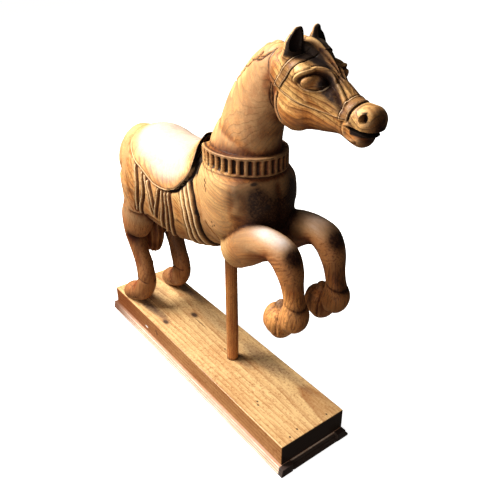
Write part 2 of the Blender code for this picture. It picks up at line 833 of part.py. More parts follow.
def stick(profile, face, turn, start, end):
    """A stick along a face of the block: face is that face's distance from the plinth's middle."""
    c, s = math.cos(turn), math.sin(turn)
    loops = []
    for along in (start, end):
        loop = [((face + out) * c - along * s, (face + out) * s + along * c, z) for out, z in profile]
        loops.append(np.array(loop))
    return stack(loops)


def plinth_frame(material):
    """Two long sticks run past the block's ends, and two short ones are butted between them."""
    half_length = BLOCK_LENGTH / 2
    half_width = BLOCK_WIDTH / 2
    front = half_length + FRONT_PROUD
    back = half_length + BACK_PROUD
    between = half_width + SIDE_PROUD - FRAME_WIDTH - GAP
    right = stick(reeded_profile(SIDE_PROUD), half_width, -math.pi / 2, -back, front)
    left = stick(cove_profile(SIDE_PROUD), half_width, math.pi / 2, -front, back)
    front_stick = stick(cove_profile(FRONT_PROUD), half_length, 0.0, FRAME_JOINT - between, between)
    back_stick = stick(cove_profile(BACK_PROUD), half_length, math.pi, -between, between)
    add_object("plinth_moulding_right", [right], material)
    add_object("plinth_moulding_left", [left], material)
    add_object("plinth_moulding_front", [front_stick], material)
    add_object("plinth_moulding_back", [back_stick], material)


def wood(name, colour, roughness=0.5):
    material = bpy.data.materials.new(name)
    material.use_nodes = True
    shader = material.node_tree.nodes["Principled BSDF"]
    shader.inputs["Base Color"].default_value = (*colour, 1)
    shader.inputs["Roughness"].default_value = roughness
    return material


def main():
    for obj in list(bpy.data.objects):
        bpy.data.objects.remove(obj)
    honey = wood("horse_wood", (0.55, 0.30, 0.12))
    orange = wood("pole_wood", (0.42, 0.17, 0.06), 0.4)
    pine = wood("block_wood", (0.60, 0.36, 0.17))
    pale = wood("moulding_wood", (0.50, 0.30, 0.17), 0.6)
    horse_object = horse(honey)
    foot = BLOCK_TOP - POLE_IN_BLOCK
    add_object("pole", [cylinder(POLE_X, 0, foot, POLE_TOP, POLE_RADIUS)], orange)
    block = base_block(pine)
    plinth_frame(pale)
    hole = cylinder(POLE_X, 0, foot - GAP, POLE_TOP + GAP, POLE_RADIUS + GAP)
    socket = add_cutter("socket", [hole], honey)
    cut(horse_object, socket)
    cut(block, socket)
    for obj in bpy.data.objects:
        obj.location.x = -SET_BACK


main()
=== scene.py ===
"""The looks of a carved wooden carousel horse on a dowel pole, over a block and a moulded plinth frame.

Metres, +Z up. The horse faces +X and its right side is -Y. As in the part's source, everything is drawn around the
middle of the plinth and then set back by SET_BACK. The horse's forms are the same stations as there, meshed finely
enough for the carver's detail. Its stations, and the lines carved on it, are in millimetres, with (x, z) or with
(x, degrees around the barrel from the ridge of the back).
"""

import math

import bpy
import numpy as np
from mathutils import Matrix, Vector, noise
from mathutils.bvhtree import BVHTree


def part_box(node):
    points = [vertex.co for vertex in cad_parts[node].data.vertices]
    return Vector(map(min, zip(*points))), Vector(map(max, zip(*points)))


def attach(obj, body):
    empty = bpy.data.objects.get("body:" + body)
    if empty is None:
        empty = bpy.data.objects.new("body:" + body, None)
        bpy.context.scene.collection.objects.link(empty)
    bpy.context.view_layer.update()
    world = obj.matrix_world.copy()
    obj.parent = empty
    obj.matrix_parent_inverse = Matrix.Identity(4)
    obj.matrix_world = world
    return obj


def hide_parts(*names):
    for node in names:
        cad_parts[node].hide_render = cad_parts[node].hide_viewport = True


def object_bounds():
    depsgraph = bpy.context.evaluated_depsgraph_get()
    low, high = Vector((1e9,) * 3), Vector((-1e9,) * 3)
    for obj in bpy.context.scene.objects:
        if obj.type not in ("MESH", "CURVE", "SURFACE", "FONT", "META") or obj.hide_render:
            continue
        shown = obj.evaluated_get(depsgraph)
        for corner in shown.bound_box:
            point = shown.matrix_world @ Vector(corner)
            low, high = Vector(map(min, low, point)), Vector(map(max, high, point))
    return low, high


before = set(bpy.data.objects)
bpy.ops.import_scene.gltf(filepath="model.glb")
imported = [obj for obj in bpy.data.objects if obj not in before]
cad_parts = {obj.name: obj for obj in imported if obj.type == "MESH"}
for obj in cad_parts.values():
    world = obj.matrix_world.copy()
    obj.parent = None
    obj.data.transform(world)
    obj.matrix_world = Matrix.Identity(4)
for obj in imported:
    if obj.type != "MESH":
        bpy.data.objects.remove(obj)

CAD_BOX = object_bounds()
BLOCK_LOW, BLOCK_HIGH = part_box("base_block")
POLE_LOW, POLE_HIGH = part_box("pole")

SET_BACK = 0.0425
BLOCK_LENGTH = BLOCK_HIGH[0] - BLOCK_LOW[0]
BLOCK_WIDTH = BLOCK_HIGH[1] - BLOCK_LOW[1]
BLOCK_TOP = BLOCK_HIGH[2]
POLE_X = 0.087
POLE_RADIUS = (POLE_HIGH[1] - POLE_LOW[1]) / 2
GAP = 0.0003

# Fineness of the horse's surface
RING_SIDES = 40
RING_STEP = 0.006
VOXEL = 0.0015
BLEND = 36
HORSE_TRIANGLES = 190000


# ---------------------------------------------------------------- shapes


def smooth_rows(rows, step):
    """A centripetal Catmull-Rom curve through every column of the rows, about step metres apart."""
    rows = np.array(rows, float)
    rows = np.vstack([2 * rows[0] - rows[1], rows, 2 * rows[-1] - rows[-2]])
    out = []
    for k in range(1, len(rows) - 2):
        p0, p1, p2, p3 = rows[k - 1 : k + 3]
        t1 = np.linalg.norm((p1 - p0)[:3]) ** 0.5
        t2 = t1 + np.linalg.norm((p2 - p1)[:3]) ** 0.5
        t3 = t2 + np.linalg.norm((p3 - p2)[:3]) ** 0.5
        count = max(2, round(float(np.linalg.norm((p2 - p1)[:3])) / step))
        for t in np.linspace(t1, t2, count, endpoint=False):
            a1 = (t1 - t) / t1 * p0 + t / t1 * p1
            a2 = (t2 - t) / (t2 - t1) * p1 + (t - t1) / (t2 - t1) * p2
            a3 = (t3 - t) / (t3 - t2) * p2 + (t - t2) / (t3 - t2) * p3
            b1 = (t2 - t) / t2 * a1 + t / t2 * a2
            b2 = (t3 - t) / (t3 - t1) * a2 + (t - t1) / (t3 - t1) * a3
            out.append((t2 - t) / (t2 - t1) * b1 + (t - t1) / (t2 - t1) * b2)
    out.append(rows[-2])
    return np.array(out)


def outward(points, faces):
    """The same closed shape with its faces pointing out."""
    volume = 0.0
    for face in faces:
        for j, k in zip(face[1:], face[2:]):
            volume += np.dot(points[face[0]], np.cross(points[j], points[k]))
    if volume < 0:
        faces = [tuple(reversed(face)) for face in faces]
    return points, faces


def stack(loops):
    """A closed solid through equal loops of points, one after the other."""
    sides = len(loops[0])
    last = len(loops) - 1
    faces = []
    for i in range(last):
        for k in range(sides):
            a, b = i * sides + k, i * sides + (k + 1) % sides
            faces.append((a, a + sides, b + sides, b))
    faces.append(tuple(range(sides)))
    faces.append(tuple(last * sides + k for k in reversed(range(sides))))
    return outward(np.vstack(loops), faces)


def limb(stations, caps=(0.6, 0.6), square=1.0):
    """A closed round form along a line in the horse's length and height.

    A station is x, y, z, half width across the horse and half depth in the line's own plane, in millimetres, and
    egg, the share by which the section is wider on its lower side. Each end is domed by caps times its own half
    depth.
    """
    rows = [[v / 1000 for v in row[:5]] + [*row[5:], 0][:1] for row in stations]
    rows = smooth_rows(rows, RING_STEP)
    along = np.gradient(rows[:, :3], axis=0)
    along /= np.linalg.norm(along, axis=1)[:, None]
    rings = []
    dome = [math.pi / 2 * k / 4 for k in (3.9, 3.4, 2.6, 1.5)]
    for angle in dome:
        row = rows[0].copy()
        row[:3] -= along[0] * math.sin(angle) * caps[0] * row[4]
        row[3:5] *= math.cos(angle)
        rings.append((row, along[0]))
    rings += list(zip(rows, along))
    for angle in reversed(dome):
        row = rows[-1].copy()
        row[:3] += along[-1] * math.sin(angle) * caps[1] * row[4]
        row[3:5] *= math.cos(angle)
        rings.append((row, along[-1]))
    side = np.array([0.0, 1.0, 0.0])
    loops = []
    for row, way in rings:
        up = np.cross(way, side)
        up /= np.linalg.norm(up)
        loop = []
        for k in range(RING_SIDES):
            turn = 2 * math.pi * k / RING_SIDES
            c, s = math.cos(turn), math.sin(turn)
            c = math.copysign(abs(c) ** square, c)
            s = math.copysign(abs(s) ** square, s)
            loop.append(row[:3] + side * c * row[3] * (1 - row[5] * s) + up * s * row[4])
        loops.append(np.array(loop))
    return stack(loops)


def plate(top, bottom):
    """A closed solid between two equal grids of points, whose borders are joined."""
    rows, columns = top.shape[:2]
    count = rows * columns
    faces = []
    for i in range(rows - 1):
        for j in range(columns - 1):
            a = i * columns + j
            quad = (a, a + columns, a + columns + 1, a + 1)
            faces.append(quad)
            faces.append(tuple(count + v for v in reversed(quad)))
    border = [j for j in range(columns)]
    border += [i * columns + columns - 1 for i in range(1, rows)]
    border += [(rows - 1) * columns + j for j in reversed(range(columns - 1))]
    border += [i * columns for i in reversed(range(1, rows - 1))]
    for a, b in zip(border, border[1:] + border[:1]):
        faces.append((a, b, count + b, count + a))
    return outward(np.vstack([top.reshape(-1, 3), bottom.reshape(-1, 3)]), faces)


def mirrored(shape):
    points, faces = shape
    return points * (1, -1, 1), [tuple(reversed(f)) for f in faces]


def pair(shape):
    return [shape, mirrored(shape)]


BARREL = [(-292, 0, 503, 73, 99, 0.03), (-250, 0, 494, 90, 117, 0.03), (-180, 0, 486, 93, 132, 0.05),
          (-90, 0, 484, 90, 126), (0, 0, 500, 86, 115), (80, 0, 528, 86, 111), (140, 0, 541, 88, 113),
          (180, 0, 550, 81, 98)]


def barrel():
    return limb(BARREL, (0.7, 0.5))


def breast():
    """The chest and withers, which carry the collar."""
    return limb([(146, 0, 640, 72, 73), (146, 0, 618, 88, 98), (146, 0, 590, 96, 109), (146, 0, 545, 95, 112),
                 (146, 0, 505, 92, 107)], (0.1, 0.5))


def neck():
    return limb([(124, 0, 600, 60, 84, 0.15), (146, 0, 665, 55, 80, 0.2), (172, 0, 735, 45, 72, 0.25),
                 (201, 0, 783, 38, 62, 0.25), (235, 0, 820, 34, 52, 0.15), (275, 0, 832, 34, 42, 0.1)], (0.5, 0.5))


def head():
    skull = limb([(262, 0, 832, 37, 40, -0.05), (300, 0, 827, 43, 50, -0.08), (345, 0, 818, 41, 46, -0.1),
                  (390, 0, 803, 29, 36, -0.05), (430, 0, 793, 25, 26), (468, 0, 789, 27, 26)], (0.5, 0.7), 0.92)
    lower_jaw = limb([(330, 0, 785, 33, 41), (375, 0, 783, 28, 33), (415, 0, 776, 22, 22), (438, 0, 767, 21, 20),
                      (455, 0, 761, 22, 17)], (0.5, 0.7))
    cheek = limb([(287, 14, 790, 24, 49), (314, 16, 785, 24, 48)], (0.6, 0.9))
    brow = limb([(325, 33, 849, 16, 15), (355, 34, 839.5, 18, 17)], (0.8, 0.8))
    forelock = limb([(296, 4, 878, 20, 10), (322, 10, 878, 22, 12), (345, 10, 869, 16, 10), (366, 7, 858, 9, 7),
                     (386, 5, 846, 3, 4)], (0.5, 0.5))
    return [skull, lower_jaw, forelock] + pair(cheek) + pair(brow)


def turned(shape, angle, place):
    """The shape turned about the upright axis, then moved to its place."""
    points, faces = shape
    c, s = math.cos(angle), math.sin(angle)
    turn = np.array([[c, -s, 0], [s, c, 0], [0, 0, 1]])
    return points @ turn.T + np.array(place), faces


EAR_TURN = math.radians(18)
EAR_PLACE = (0.306, 0.026, 0.0)


def ears():
    """Upright cupped ears, their hollows turned forward and outward."""
    ear = limb([(2, 4, 846, 20, 18), (3, 2, 872, 17, 14), (3, -2, 892, 14.5, 11), (3, -7, 905.6, 8.5, 6)], (0.5, 1.1))
    return pair(turned(ear, EAR_TURN, EAR_PLACE))


def ear_hollows():
    hollow = limb([(15, 1, 879, 11, 9), (13, -1, 890, 12, 9), (11, -5, 904, 7, 6)], (0.6, 0.8))
    return pair(turned(hollow, EAR_TURN, EAR_PLACE))


def forelegs():
    arm = limb([(179, 50, 456, 37, 43), (222, 54, 485, 37, 44), (270, 55, 509, 33, 36), (312, 55, 518, 30, 29),
                (337, 55, 511, 30, 30), (354, 55, 487, 27, 27), (363, 55, 455, 22, 21), (369, 55, 425, 22, 21),
                (373, 55, 400, 28, 29), (368, 55, 382, 28, 28)], (0.7, 0.75))
    toe = limb([(351, 55, 375, 26, 27), (334, 55, 346, 26, 23)], (0.5, 0.85))
    heel = limb([(346, 55, 372, 26, 28), (330, 55, 365, 30, 33), (314, 55, 360, 30, 33)], (0.5, 0.4))
    bulb = limb([(340, 55, 395, 12, 10), (329, 55, 401, 13, 11)], (0.8, 0.8))
    return pair(arm) + pair(toe) + pair(heel) + pair(bulb)


def hindlegs():
    leg = limb([(-235, 52, 470, 42, 80), (-245, 55, 400, 36, 59), (-274, 58, 340, 32, 56), (-288, 58, 305, 27, 33),
                (-274, 57, 265, 25, 25), (-256, 56, 220, 24, 24), (-246, 57, 185, 25, 26), (-247, 58, 155, 27, 28),
                (-266, 60, 124, 28, 30), (-299, 62, 103, 31, 29), (-327, 64, 92, 31, 27)], (0.5, 0.55))
    return pair(leg)


def tail():
    return [
        limb([(-315, 0, 520, 20, 20), (-335, 0, 440, 26, 26), (-320, 0, 350, 34, 36), (-294, 0, 285, 32, 36),
              (-293, 0, 241, 24, 25)], (0.5, 0.9))
    ]


def barrel_centre(x):
    return np.interp(x, [row[0] / 1000 for row in BARREL], [row[2] / 1000 for row in BARREL])


def new_object(name, data):
    obj = bpy.data.objects.new(name, data)
    bpy.context.scene.collection.objects.link(obj)
    return obj


def move_points(mesh, points):
    mesh.vertices.foreach_set("co", points.ravel())
    mesh.update()


def add_object(name, shapes, material):
    points = []
    faces = []
    for more_points, more_faces in shapes:
        start = sum(len(p) for p in points)
        points.append(more_points)
        faces += [tuple(start + i for i in face) for face in more_faces]
    mesh = bpy.data.meshes.new(name)
    mesh.from_pydata(np.vstack(points).tolist(), [], faces)
    mesh.update()
    mesh.materials.append(material)
    obj = new_object(name, mesh)
    return obj


def add_cutter(name, shapes, material):
    cutter = add_object(name, shapes, material)
    cutter.hide_render = True
    cutter.display_type = "WIRE"
    return cutter


def fuse(obj, voxel, smoothing):
    remesh = obj.modifiers.new("fuse", "REMESH")
    remesh.mode = "VOXEL"
    remesh.voxel_size = voxel
    smooth = obj.modifiers.new("blend", "SMOOTH")
    smooth.factor = 0.5
    smooth.iterations = smoothing


def cut(obj, cutter):
    boolean = obj.modifiers.new("cut", "BOOLEAN")
    boolean.operation = "DIFFERENCE"
    boolean.solver = "EXACT"
    boolean.object = cutter


def take_mesh(obj):
    """The object's mesh with its modifiers applied; the object itself is removed."""
    graph = bpy.context.evaluated_depsgraph_get()
    mesh = bpy.data.meshes.new_from_object(obj.evaluated_get(graph))
    bpy.data.objects.remove(obj)
    return mesh


def mesh_shape(mesh):
    points = np.empty(len(mesh.vertices) * 3)
    mesh.vertices.foreach_get("co", points)
    return points.reshape(-1, 3), [tuple(p.vertices) for p in mesh.polygons]


def vertex_normals(mesh):
    normals = np.empty(len(mesh.vertices) * 3)
    mesh.vertex_normals.foreach_get("vector", normals)
    return normals.reshape(-1, 3)


LIPS_X = 0.455
LIPS_HALF_LENGTH = 0.026
LIPS_HALF_WIDTH = 0.024
LIPS_Z = 0.7725
LIPS_REACH = math.radians(143)
LIPS_SECTION = [(-0.012, 0.0), (0.0, 0.0056), (0.020, 0.0078), (0.020, -0.0062), (0.0, -0.0050)]


def mouth():
    """The gap between the lips, a curved slot around the front of the muzzle."""
    loops = []
    for turn in np.linspace(-LIPS_REACH, LIPS_REACH, 25):
        c, s = math.cos(turn), math.sin(turn)
        end = 1 - 0.8 * (abs(turn) / LIPS_REACH) ** 6
        z = LIPS_Z + 0.003 * (1 - c)
        loop = []
        for reach, rise in LIPS_SECTION:
            x = LIPS_X + (LIPS_HALF_LENGTH + reach) * c
            y = (LIPS_HALF_WIDTH + reach) * s
            loop.append((x, y, z + rise * end))
        loops.append(np.array(loop))
    return stack(loops)


NOSTRIL = (0.468, 0.799)
NOSTRIL_FUNNEL = [(0.034, 0.0100), (0.022, 0.0075), (0.012, 0.0055)]


def nostrils():
    x, z = NOSTRIL
    loops = []
    for y, radius in NOSTRIL_FUNNEL:
        loop = []
        for k in range(16):
            turn = 2 * math.pi * k / 16
            loop.append((x + radius * math.cos(turn), y, z + radius * math.sin(turn)))
        loops.append(np.array(loop))
    return pair(stack(loops))


# ---------------------------------------------------------------- lines and measures on a surface


def line_distance(u, v, line):
    """Each place's distance to a line of (u, v) points, negative on the line's right-hand side."""
    best = np.full(len(u), 1.0)
    signed = best.copy()
    for (u0, v0), (u1, v1) in zip(line, line[1:]):
        du, dv = u1 - u0, v1 - v0
        share = np.clip(((u - u0) * du + (v - v0) * dv) / (du * du + dv * dv), 0, 1)
        away = np.hypot(u - u0 - share * du, v - v0 - share * dv)
        side = np.where(du * (v - v0) - dv * (u - u0) < 0, -away, away)
        signed = np.where(away < best, side, signed)
        best = np.minimum(best, away)
    return signed


def inside(u, v, loop):
    """Whether each place lies within a closed loop of (u, v) points."""
    within = np.zeros(len(u), bool)
    for (u0, v0), (u1, v1) in zip(loop, loop[1:] + loop[:1]):
        if v0 != v1:
            crosses = (v0 > v) != (v1 > v)
            within ^= crosses & (u < (u1 - u0) * (v - v0) / (v1 - v0) + u0)
    return within


def curve(points):
    """A smooth line of (u, v) points through a few given ones."""
    rows = smooth_rows([(u, 0, v) for u, v in points], 0.006)
    return [(row[0], row[2]) for row in rows]


def off_line(u, v, line):
    """Each place's distance to the smooth line through a few (u, v) points in millimetres."""
    return line_distance(u, v, curve([(u0 / 1000, v0 / 1000) for u0, v0 in line]))


def unrolled(line, ahead=0):
    """A line of (x in millimetres, degrees) on the barrel as lengths, moved ahead along x."""
    return [(x / 1000 + ahead, degrees * DEGREE) for x, degrees in line]


def ridge(distance, half_width):
    return np.exp(-((distance / half_width) ** 2))


def step(value, width):
    """0 below -width/2, 1 above width/2, smooth between."""
    share = np.clip(value / width + 0.5, 0, 1)
    return share * share * (3 - 2 * share)


# ---------------------------------------------------------------- the collar and the saddle


COLLAR_X = 0.143
COLLAR_BACK = 0.080
COLLAR_SLOPE = 0.034
COLLAR_HALF_LENGTH = 0.101
COLLAR_HALF_WIDTH = 0.080
COLLAR_BOTTOM = 0.624
COLLAR_TOP = 0.662
COLLAR_FLUTES = 34
FLUTE_FOOT = 0.0034
FLUTE_HEAD = 0.0052
FLUTE_DEPTH = 0.0060
FLUTE_SHARE = 0.54


def flute_strength(x):
    """The flutes are deep beside the withers and shallow in front."""
    return 1 - 0.6 * step(x - 0.222, 0.03)


def collar_height(x, z):
    """A place's height in the collar's own level."""
    return z - COLLAR_SLOPE * np.maximum(x - COLLAR_BACK, 0)


def flute_depth(turn, z):
    """How far a place on the collar's face lies inside a flute, which is square below and round above."""
    pitch = 2 * math.pi * 0.0905 / COLLAR_FLUTES
    aside = np.abs((turn * COLLAR_FLUTES / (2 * math.pi)) % 1 - 0.5) * pitch
    half = FLUTE_SHARE * pitch / 2
    above = np.maximum(z - (COLLAR_TOP - FLUTE_HEAD - 0.7 * half), 0)
    round_top = half - np.hypot(aside, above * 1.4)
    return np.minimum(round_top, z - COLLAR_BOTTOM - FLUTE_FOOT), half


def collar():
    """An upright ring: a bead at its foot, flutes between half-round ribs, and two thin beads at its rim."""
    count = COLLAR_FLUTES * 16
    turn = np.arange(count) * 2 * math.pi / count
    away = np.stack([np.cos(turn), np.sin(turn)], 1)
    half = np.array([COLLAR_HALF_LENGTH, COLLAR_HALF_WIDTH])
    loops = []
    for z in np.arange(COLLAR_BOTTOM - 0.004, COLLAR_TOP + 0.0004, 0.0008):
        within, slot = flute_depth(turn, z)
        flute = step(within - 0.0004, 0.0022) * np.clip(0.5 + within / slot, 0, 1)
        on_ribs = step(z - COLLAR_BOTTOM - FLUTE_FOOT, 0.001) * step(COLLAR_TOP - FLUTE_HEAD - z, 0.001)
        ribs = on_ribs * np.clip(-within / slot, 0, 1)
        grown = -0.004 * step(COLLAR_BOTTOM - z, 0.003) - 0.0026 * step(z - COLLAR_TOP + 0.0006, 0.0012)
        for bead in (z - COLLAR_BOTTOM - 0.0016, z - COLLAR_TOP + 0.0010, z - COLLAR_TOP + 0.0040):
            grown += 0.0011 * ridge(bead, 0.0011)
        grown -= 0.0014 * ridge(z - COLLAR_TOP + 0.0025, 0.0007)
        edge = away * (half + grown - 0.0012 + 0.0012 * ribs[:, None])
        edge -= away * (flute * FLUTE_DEPTH * flute_strength(edge[:, 0] + COLLAR_X))[:, None]
        x = np.maximum(edge[:, 0] + COLLAR_X, COLLAR_BACK)
        loops.append(np.column_stack([x, edge[:, 1], z + COLLAR_SLOPE * (x - COLLAR_BACK)]))
    return stack(loops[::-1])


# The size of a degree around the barrel
DEGREE = 0.002

# The saddle's rim on one side, from its back over the flap to the front arch
SADDLE_RIM = [(-262, 20), (-240, 38), (-192, 54), (-147, 60), (-110, 66), (-70, 71), (-28, 72), (9, 67), (35, 58),
              (50, 47), (48, 33), (30, 17), (12, 0)]
SADDLE_BACK = SADDLE_RIM[0][0] / 1000
POMMEL_X = 0.010
SADDLE_COLUMNS = 91
BEAD_INSET = 0.0026
BEAD_HALF_WIDTH = 0.0016
BEAD_HEIGHT = 0.0011


def saddle(body):
    """A shell over the back with a thin raised rim, whose front arch stands clear of the withers."""
    tree = BVHTree.FromPolygons([v.co for v in body.vertices], [p.vertices for p in body.polygons])
    rim = smooth_rows([(x, 0, across) for x, across in unrolled(SADDLE_RIM)], 0.004)
    spaced = np.linspace(-1, 1, SADDLE_COLUMNS)
    spaced = np.sign(spaced) * (1 - (1 - np.abs(spaced)) ** 2)
    top = []
    bottom = []
    for k, (x_rim, _, across) in enumerate(rim):
        along = k / (len(rim) - 1)
        x_spine = SADDLE_BACK + (POMMEL_X - SADDLE_BACK) * along
        front = np.clip((along - 0.76) / 0.22, 0, 1)
        flap = np.clip((along - 0.45) / 0.2, 0, 1)
        rise = 0.007 + 0.003 * flap + 0.020 * front * front
        back = np.clip(along / 0.25, 0, 1)
        reach = math.hypot(x_rim - x_spine, across)
        top_row = []
        bottom_row = []
        for t in spaced:
            share = abs(t)
            x = x_spine + (x_rim - x_spine) * share
            angle = math.radians(across / DEGREE * t)
            z = float(barrel_centre(x))
            way = Vector((0, math.sin(angle), math.cos(angle)))
            hit = tree.ray_cast(Vector((x, 0, z)), way)[0]
            near_front = np.clip((x - x_rim + 0.020) / 0.012, 0, 1)
            from_rim = (1 - share) * reach
            bead = ridge(from_rim - BEAD_INSET, BEAD_HALF_WIDTH)
            bead -= 0.5 * ridge(from_rim - 2.4 * BEAD_INSET, BEAD_HALF_WIDTH)
            lift = 0.001 + (rise - 0.001 + BEAD_HEIGHT * bead) * back
            under = -0.010 + near_front * (front * (rise + 0.003) + (1 - front) * flap * 0.010)
            top_row.append(hit + way * lift)
            bottom_row.append(hit + way * under)
        top.append(top_row)
        bottom.append(bottom_row)
    return plate(np.array(top), np.array(bottom))


# ---------------------------------------------------------------- carving of the horse's surface


# Folds of the saddle cloth, each as (x, degrees) from the saddle's edge to the hem
FOLDS = [[(-188, 50), (-168, 86), (-190, 122), (-200, 132)], [(-146, 60), (-142, 94), (-172, 122), (-190, 136)],
         [(-135, 62), (-114, 89), (-113, 121)], [(-119, 70), (-103, 91), (-99, 112)],
         [(-71, 72), (-79, 94), (-106, 123)], [(-54, 72), (-56, 101), (-78, 125), (-96, 140)],
         [(-41, 72), (-40, 106), (-62, 132), (-92, 149)], [(-28, 71), (-24, 107), (-40, 130), (-69, 152)]]
RUMP_FOLD = [(-300, 95), (-283, 112), (-240, 122), (-216, 134)]
HEM = [(-400, 398), (-190, 398), (-150, 416), (-115, 418), (-85, 396), (-62, 380)]
GIRTH_BACK = [(12, 60), (30, 98), (26, 128), (-8, 158), (-12, 180)]
GIRTH_FRONT = [(56, 55), (78, 79), (89, 106), (78, 141), (66, 180)]
CLOTH_FROM = 52
CLOTH_THICKNESS = 0.0030
FOLD_HEIGHT = 0.0046
FOLD_HALF_WIDTH = 0.0030
FOLD_VALLEY = 0.0022


def around_barrel(points):
    """How far round the barrel each place is, from the ridge of the back, as a length."""
    x, y, z = points.T
    return np.degrees(np.arctan2(np.abs(y), z - barrel_centre(x))) * DEGREE


def inside_rim(x, across):
    rim = curve(unrolled(SADDLE_RIM))
    return inside(x, across, [(SADDLE_BACK, -0.01)] + rim + [(rim[-1][0], -0.01)])


def saddle_distance(points):
    """Each place's distance to the saddle's rim, along the skin; negative on the saddle."""
    x, y, z = points.T
    across = around_barrel(points)
    distance = np.abs(line_distance(x, across, curve(unrolled(SADDLE_RIM))))
    top = (np.hypot(y, z - barrel_centre(x)) > 0.09) & (z < 0.668)
    return np.where(inside_rim(x, across) & top, -distance, distance)


def cloth_places(points):
    """The cloth's share, the nearest fold's distance, and the place across the girth, 0 to 1."""
    x, y, z = points.T
    across = around_barrel(points)
    hem = np.interp(x, *np.array(HEM).T / 1000, right=-1.0)
    girth_back, girth_front = [
        np.interp(across / DEGREE, [at for _, at in edge], [edge_x / 1000 for edge_x, _ in edge])
        for edge in (GIRTH_BACK, GIRTH_FRONT)
    ]
    on_side = step(across / DEGREE - CLOTH_FROM, 12) * (saddle_distance(points) > 0)
    on_side *= step(0.664 - z, 0.01)
    cloth = on_side * step(z - hem, 0.002) * step(girth_back - x, 0.002)
    nearest = np.full(len(x), 1.0)
    for fold in FOLDS:
        nearest = np.minimum(nearest, np.abs(line_distance(x, across, curve(unrolled(fold)))))
    place = (x - girth_back) / (girth_front - girth_back)
    return on_side, cloth, nearest, place, x - girth_back, x - girth_front


def carve_cloth(points):
    """The cloth below the saddle with its folds and hem, and the girth strap in front of it."""
    x = points[:, 0]
    across = around_barrel(points)
    on_side, cloth, nearest, place, from_back, from_front = cloth_places(points)
    forward = step(x + 0.225, 0.05)
    height = cloth * forward * CLOTH_THICKNESS
    height += cloth * FOLD_HEIGHT * ridge(nearest, FOLD_HALF_WIDTH)
    height -= cloth * FOLD_VALLEY * ridge(nearest - 2.3 * FOLD_HALF_WIDTH, 1.2 * FOLD_HALF_WIDTH)
    rump = line_distance(x, across, curve(unrolled(RUMP_FOLD)))
    height -= 0.0010 * on_side * ridge(rump, 0.0030)
    strap_here = step(from_back, 0.002) * step(-from_front, 0.002) * on_side
    reeds = np.abs(np.sin(place * 3 * math.pi)) ** 0.7
    height += strap_here * (0.0014 + 0.0050 * reeds)
    for edge in (from_back, from_front):
        height -= on_side * 0.0036 * ridge(edge, 0.0030)
    from_rim = saddle_distance(points)
    height -= (from_rim > 0) * on_side * 0.0022 * ridge(from_rim, 0.0045) * step(x + 0.215, 0.03)
    return height - 0.004 * ridge(line_distance(x, across, unrolled(SADDLE_RIM[6:11], 0.006)), 0.005)


# The bridle's bands and cords, as (x, z) seen from the side
BROWBAND = [(275, 803), (288, 818), (312, 843.5), (330, 865), (346, 884)]
BROWBAND_HALF = 0.0072
NOSEBAND = [(424, 778), (427.5, 793), (431, 806.5), (436, 818), (441, 832)]
NOSEBAND_HALF = 0.0080
REIN = [(256, 868), (249, 853), (253, 839), (266, 829), (283, 819), (294, 810), (310, 804), (328, 799), (360, 794),
        (392, 791), (412, 790), (430, 791)]
LATCH = [(264, 812), (257, 796), (254, 780), (258, 762), (272, 744)]
LATCH_HALF_GAP = 0.0026
JAW_LINE = [(284, 803), (278, 789), (278, 772), (288, 752)]


def bridle_places(points):
    """Shares on the head and its sides, distances to the bands (in half widths), the rein, the latch and the jaw."""
    x, y, z = points.T
    side = np.abs(y)
    on_head = step(x - 0.240, 0.01) * step(z - 0.735, 0.01)
    on_side = on_head * step(side - 0.012, 0.006)
    browband = off_line(x, z, BROWBAND) / BROWBAND_HALF
    noseband = off_line(x, z, NOSEBAND) / NOSEBAND_HALF
    on_brow = step(z - 0.812, 0.004) * step(0.352 - x, 0.004) * step(0.878 - z, 0.004)
    bands = [(browband, on_head * on_brow * step(side - 0.005, 0.003)), (noseband, on_head * step(z - 0.786, 0.003))]
    cords = [off_line(x, z, line) for line in (REIN, LATCH, JAW_LINE)]
    return on_head, on_side, bands, cords


def carve_bridle(points):
    """Browband and noseband, the rein over the cheek, the throat latch and the line of the jaw."""
    x, y, z = points.T
    _, on_side, bands, (rein, latch, jaw) = bridle_places(points)
    height = np.zeros(len(x))
    for distance, here in bands:
        away = np.abs(distance)
        rims = 0.0012 * step(1 - away, 0.25) + 0.0007 * ridge(away - 0.80, 0.14)
        height += here * (rims - 0.0012 * ridge(away - 1.16, 0.13))
    height -= bands[1][1] * step(z - 0.790, 0.004) * 0.0030 * ridge(bands[1][0] + 1.32, 0.26)
    height += on_side * (0.0006 * ridge(rein, 0.0012) - 0.0008 * ridge(rein + 0.0020, 0.0010))
    for edge in (latch - LATCH_HALF_GAP, latch + LATCH_HALF_GAP):
        height -= on_side * 0.0012 * ridge(edge, 0.0012)
    height -= 0.0044 * ridge(jaw, 0.0022) * on_side * step(z - 0.752, 0.01) * step(0.804 - z, 0.01)
    return height


EYE = (0.369, 0.036, 0.8345)
EYE_HALF_LENGTH = 0.0200
EYE_HALF_HEIGHT = 0.0115
EYE_TURN = math.radians(30)


def around_eye(points):
    """Places around the eye as (forward along it, up from it, outward, radius in a flat-bottomed oval)."""
    x, y, z = points.T
    c, s = math.cos(EYE_TURN), math.sin(EYE_TURN)
    ahead, outside = x - EYE[0], np.abs(y) - EYE[1]
    along = ahead * c - outside * s
    out = ahead * s + outside * c
    up = z - EYE[2] - 0.05 * along
    oval = np.abs(along / EYE_HALF_LENGTH) ** 2 + np.abs(up / EYE_HALF_HEIGHT * np.where(up > 0, 1.0, 1.12)) ** 2
    return along, up, out, np.sqrt(oval)


